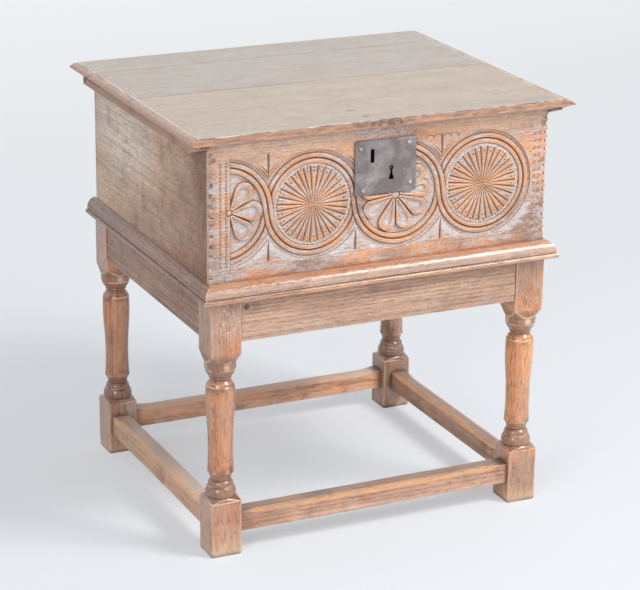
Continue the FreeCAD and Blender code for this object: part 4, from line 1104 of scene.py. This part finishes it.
def make_world():
    """A dim world that the camera and every gloss see as pale paper."""
    world = bpy.data.worlds.new("world")
    bpy.context.scene.world = world
    s = Shader(world)
    path = s.add("LightPath").outputs
    gloss = s.maths("MAXIMUM", path["Is Glossy Ray"], path["Is Transmission Ray"])
    seen = s.maths("MAXIMUM", path["Is Camera Ray"], gloss)
    dim = s.add("Background", Color=(0.97, 0.98, 1.0, 1), Strength=0.44)
    bright = s.add("Background", Color=srgb(237, 241, 244), Strength=1.0)
    s.finish(s.blend(seen, dim, bright), "OutputWorld")


make_camera()
bpy.context.scene.view_settings.view_transform = "Standard"
make_floor()
make_world()
softbox("key", (1.9, -2.0, 3.0), (0, 0, 0.4), (1.2, 1.2), 108)
softbox("fill", (-2.4, -2.2, 1.7), (0, 0, 0.4), (1.2, 1.6), 36)


# Finishes. Each oak has its grain's axis, a middle, a pale, a dark and a worn tone, and changes.
WORN = (244, 206, 170)
LINE = (255, 192, 134)
APRON = dict(nook=(0.85, 0.35), haze=0.4)
RAIL = dict(nook=(0.85, 0.35), dust=0.8, flake=0.3, pores=0.25, speck=0.9, veins=0.3, mottle=0.75)
MOULD = dict(pith=(-0.2, 0.4), pores=0.3)
LID = dict(edge=0, pith=(-0.3, 0.4), figure=0.2, pores=0.2, mottle=0.25, speck=0.28, haze=0.15,
           veins=0.2, coat=0.35, nook=(0.8, 0.3), sheen=0.8, edge_tone=(146, 102, 78),
           hollow=(244, 232, 214))
apron_oak = oak(
    "oak_apron_x", "x", (208, 162, 133), (224, 180, 150), (114, 82, 66), WORN, shift=2,
    pith=(-0.17, 0.33), figure=0.25, flake=0.3, pores=0.35, speck=0.7,
    zones=[((-239, -262, 425), (7, 30, 7), (48, 34, 28), 1.0)], **APRON)
# The end aprons' oak is darker than the front's, partly as painted shade on the sides.
apron_oak_y = oak(
    "oak_apron_y", "y", (172, 124, 92), (188, 140, 108), (80, 54, 42), WORN, shift=4,
    pith=(-0.2, 0.33), flake=0.5, pores=0.5, speck=0.5, **APRON)
# The front rail's zones: painted shadow at the left end by the leg, a pale band low on the face,
# and a worn and painted highlight line along the top arris.
rail_front = oak(
    "oak_rail_front", "x", (216, 166, 136), (238, 188, 158), (140, 92, 68), LINE, shift=2,
    pith=(-0.17, 0.0), hollow=(176, 156, 142), dust_tone=(138, 124, 114),
    zones=[((-215, -262, 54), (60, 60, 60), (166, 122, 98), 0.7),
           ((60, -264, 38), (330, 12, 6), (246, 222, 200), 0.7),
           ((60, -262, 64), (200, 14, 8), (255, 196, 140), 0.8)], **RAIL)
# The back rail's pale hollow tone, which also lies on its top, is dust and painted highlight.
rail_back = oak(
    "oak_rail_back", "x", (252, 186, 142), (255, 198, 156), (170, 110, 80), (255, 214, 184),
    shift=5, pith=(-0.17, 0.0), hollow=(214, 196, 184), **RAIL)
rail_left = oak(
    "oak_rail_left", "y", (236, 182, 142), (250, 198, 156), (134, 96, 72), (255, 196, 150),
    shift=4, pith=(-0.2, 0.0), hollow=(190, 172, 154), dust_tone=(212, 194, 180),
    zones=[((-274, 190, 54), (60, 150, 60), (255, 208, 166), 0.8)], **RAIL)
rail_right = oak(
    "oak_rail_right", "y", (196, 148, 116), (214, 160, 122), (104, 70, 54), LINE,
    shift=7, pith=(-0.2, 0.0), hollow=(168, 152, 142), dust_tone=(158, 138, 130), **RAIL)
# The middle of the three zones is a painted highlight band on the moulding's round.
mould_oak = oak(
    "oak_mould_x", "x", (198, 151, 121), (220, 171, 137), (108, 74, 58), WORN,
    shift=3, shine=0.22, coat=0.6, speck=0.8,
    zones=[((0, -270, 468), (540, 60, 8), (206, 132, 80), 0.85),
           ((0, -275, 455), (540, 60, 6), (208, 184, 168), 0.6),
           ((0, -280, 441), (540, 60, 5), (248, 176, 118), 0.85)], **MOULD)
# The end mouldings' oak is a redder tone and darker than the front's, partly as painted shade on
# the sides.
mould_oak_y = oak(
    "oak_mould_y", "y", (142, 92, 62), (160, 106, 74), (84, 52, 38), WORN, haze=0.2,
    shift=5, shine=0.18, coat=0.8, speck=0.7, **MOULD)
front_zones = (
    (285, 505, 110, 62, (142, 118, 102), 0.85), (-290, 486, 60, 45, (170, 158, 152), 0.8),
    (-165, 684, 190, 22, (255, 214, 184), 0.9), (190, 684, 130, 22, (255, 210, 172), 0.8),
    (285, 615, 40, 60, (246, 172, 118), 0.7), (-47, 579, 26, 64, (134, 114, 104), 0.85),
    (-298, 580, 12, 120, (150, 130, 122), 0.8), (-235, 579, 44, 70, (170, 138, 122), 0.5),
    (-120, 482, 60, 13, (140, 126, 120), 0.75), (25, 480, 46, 12, (150, 132, 122), 0.6),
    (135, 482, 50, 13, (150, 130, 116), 0.6), (-215, 474, 50, 9, (230, 152, 100), 0.7),
    (80, 472, 44, 8, (236, 160, 106), 0.7))
front_oak = oak(
    "oak_front", "x", (206, 162, 136), (238, 172, 124), (130, 92, 74), (252, 188, 140),
    hollow=(206, 200, 199), edge=0, shift=6, pith=(-0.16, 0.3), figure=0.08, pores=0.12,
    haze=0.7, speck=0.85, veins=0.15, glints=0.9, film_range=(0.5, 0.58), bare_above=656,
    zones=[((x, -255, z), (wide, 60, high), tint, share)
           for x, z, wide, high, tint, share in front_zones])
side_oak = oak(
    "oak_side", "y", (226, 186, 152), (240, 206, 174), (136, 92, 68), (246, 222, 200), shift=8,
    coat=0.14, flake=0.35, pith=(-0.1, 0.3), figure=0.08, wipes=0.4, haze=0.3, veins=0.3,
    pores=0.5, mottle=0.6, speck=0.95,
    zones=[((-301, 130, 625), (90, 170, 110), (255, 240, 224), 0.95),
           ((-301, -40, 500), (90, 230, 60), (146, 106, 82), 0.6),
           ((-301, -235, 650), (90, 60, 90), (100, 62, 42), 0.75),
           ((-301, -150, 480), (90, 90, 14), (206, 132, 86), 0.7)])
board_oak = oak(
    "oak_board", "x", (176, 146, 126), (194, 168, 150), (118, 88, 72), (206, 182, 162),
    shine=0.55, shift=9, pith=(-0.16, 0.3))
lid_front = oak(
    "oak_lid_front", "x", (172, 145, 120), (184, 158, 134), (134, 102, 82), (232, 200, 172),
    shift=10, **LID)
lid_grey = oak(
    "oak_lid_grey", "x", (160, 142, 129), (170, 153, 142), (126, 104, 92), (224, 178, 146),
    shift=12, **LID)
lock_iron = iron("iron_lock", (122, 114, 113), (168, 162, 164), (146, 126, 116))
# The lock nails' pale heads are partly painted highlight.
head_iron = iron("iron_head", (170, 164, 162), (222, 218, 218), (176, 160, 150), 0.22, 0.3)
lid_iron = iron("iron_lid", (206, 192, 176), (236, 226, 212), (178, 158, 140), 0.5, 0.0)
nail_iron = iron("iron_nail", (150, 118, 98), (178, 146, 124), (140, 104, 84), 0.5, 0.1)
works_iron = iron("iron_works", (72, 66, 64), (108, 102, 98), (124, 88, 62))

# The legs. Each has a middle and a pale tone and its own patches.
LEGS = {
    "leg_front_left": ((184, 112, 68), (216, 132, 74), [
        ((-274, -236, 412), (60, 60, 66), (196, 152, 126), 0.6),
        ((-274, -236, 20), (60, 60, 50), (232, 190, 152), 0.6)]),
    "leg_front_right": ((238, 148, 82), (255, 168, 86), [
        ((274, -236, 412), (60, 60, 70), (140, 98, 72), 1.0),
        ((274, -236, 44), (60, 60, 64), (160, 120, 94), 0.95)]),
    "leg_back_left": ((186, 112, 68), (216, 128, 68), [
        ((-256, 215, 55), (30, 20, 70), (214, 196, 182), 0.95),
        ((-300, 236, 55), (16, 60, 60), (232, 176, 140), 0.7)]),
    "leg_back_right": ((160, 112, 88), (184, 126, 94), [])}
for number, (name, (mid, pale, patches)) in enumerate(LEGS.items()):
    across, deep, _ = middle_of(name)
    leg_oak = oak(
        "oak_" + name, "z", mid, pale, (112, 66, 46), WORN, edge=0, shine=0.18, coat=1.0,
        coat_rough=0.1, figure=0.75, haze=0.15, speck=0.65, rings=150.0, ring_low=0.45,
        swirl=0.09, pores=0.2, veins=0.15, mottle=0.65, streaks=(8.0, 120.0),
        shift=20 + 3 * number, hollow=(180, 158, 144), nook=(0.94, 0.5), zones=patches,
        scratches=((-274, -262, 405), (24, 14, 42)) if name == "leg_front_left" else None,
        pith=(across * MM + 0.038, deep * MM + 0.03 - 0.07 * (deep > 0)))
    make_leg(name, across, deep, 20 + 5 * number, leg_oak)

# The other pieces: the front, the lid's boards and the nodes that keep their CAD meshes.
make_front(front_oak)
make_lid_board("lid_board_front", LID_FRONT, 2.3, 60, lid_front)
make_lid_board("lid_board_middle", 2.7, 190.8, 70, lid_grey)
make_lid_board("lid_board_back", 191.2, LID_BACK, 80, lid_grey)
for nodes, finish, width in (
        (("apron_front", "apron_back"), apron_oak, 1.0),
        (("apron_left", "apron_right"), apron_oak_y, 1.0),
        (("stretcher_front",), rail_front, 1.2), (("stretcher_back",), rail_back, 1.2),
        (("stretcher_left",), rail_left, 1.2), (("stretcher_right",), rail_right, 1.2),
        (("moulding_front",), mould_oak, 0.8),
        (("moulding_left", "moulding_right"), mould_oak_y, 0.8),
        (("box_side_left", "box_side_right"), side_oak, 0.8),
        (("box_back", "box_bottom_front", "box_bottom_back"), board_oak, 0.8),
        (("lid_cleat_left", "lid_cleat_right"), rail_right, 0.8),
        (("box_front_nails", "box_back_nails", "box_bottom_nails"), nail_iron, 0),
        (("lid_nails",), lid_iron, 0), (("lock_plate",), lock_iron, 0.3),
        (("lock_nails",), head_iron, 0),
        (("lock_cap", "lock_drill_pin", "lock_cap_nails", "lock_bolt", "lock_bolt_guides",
          "lock_spring", "hinge_pin_left", "hinge_pin_right"), works_iron, 0)):
    dress(nodes, finish, width)
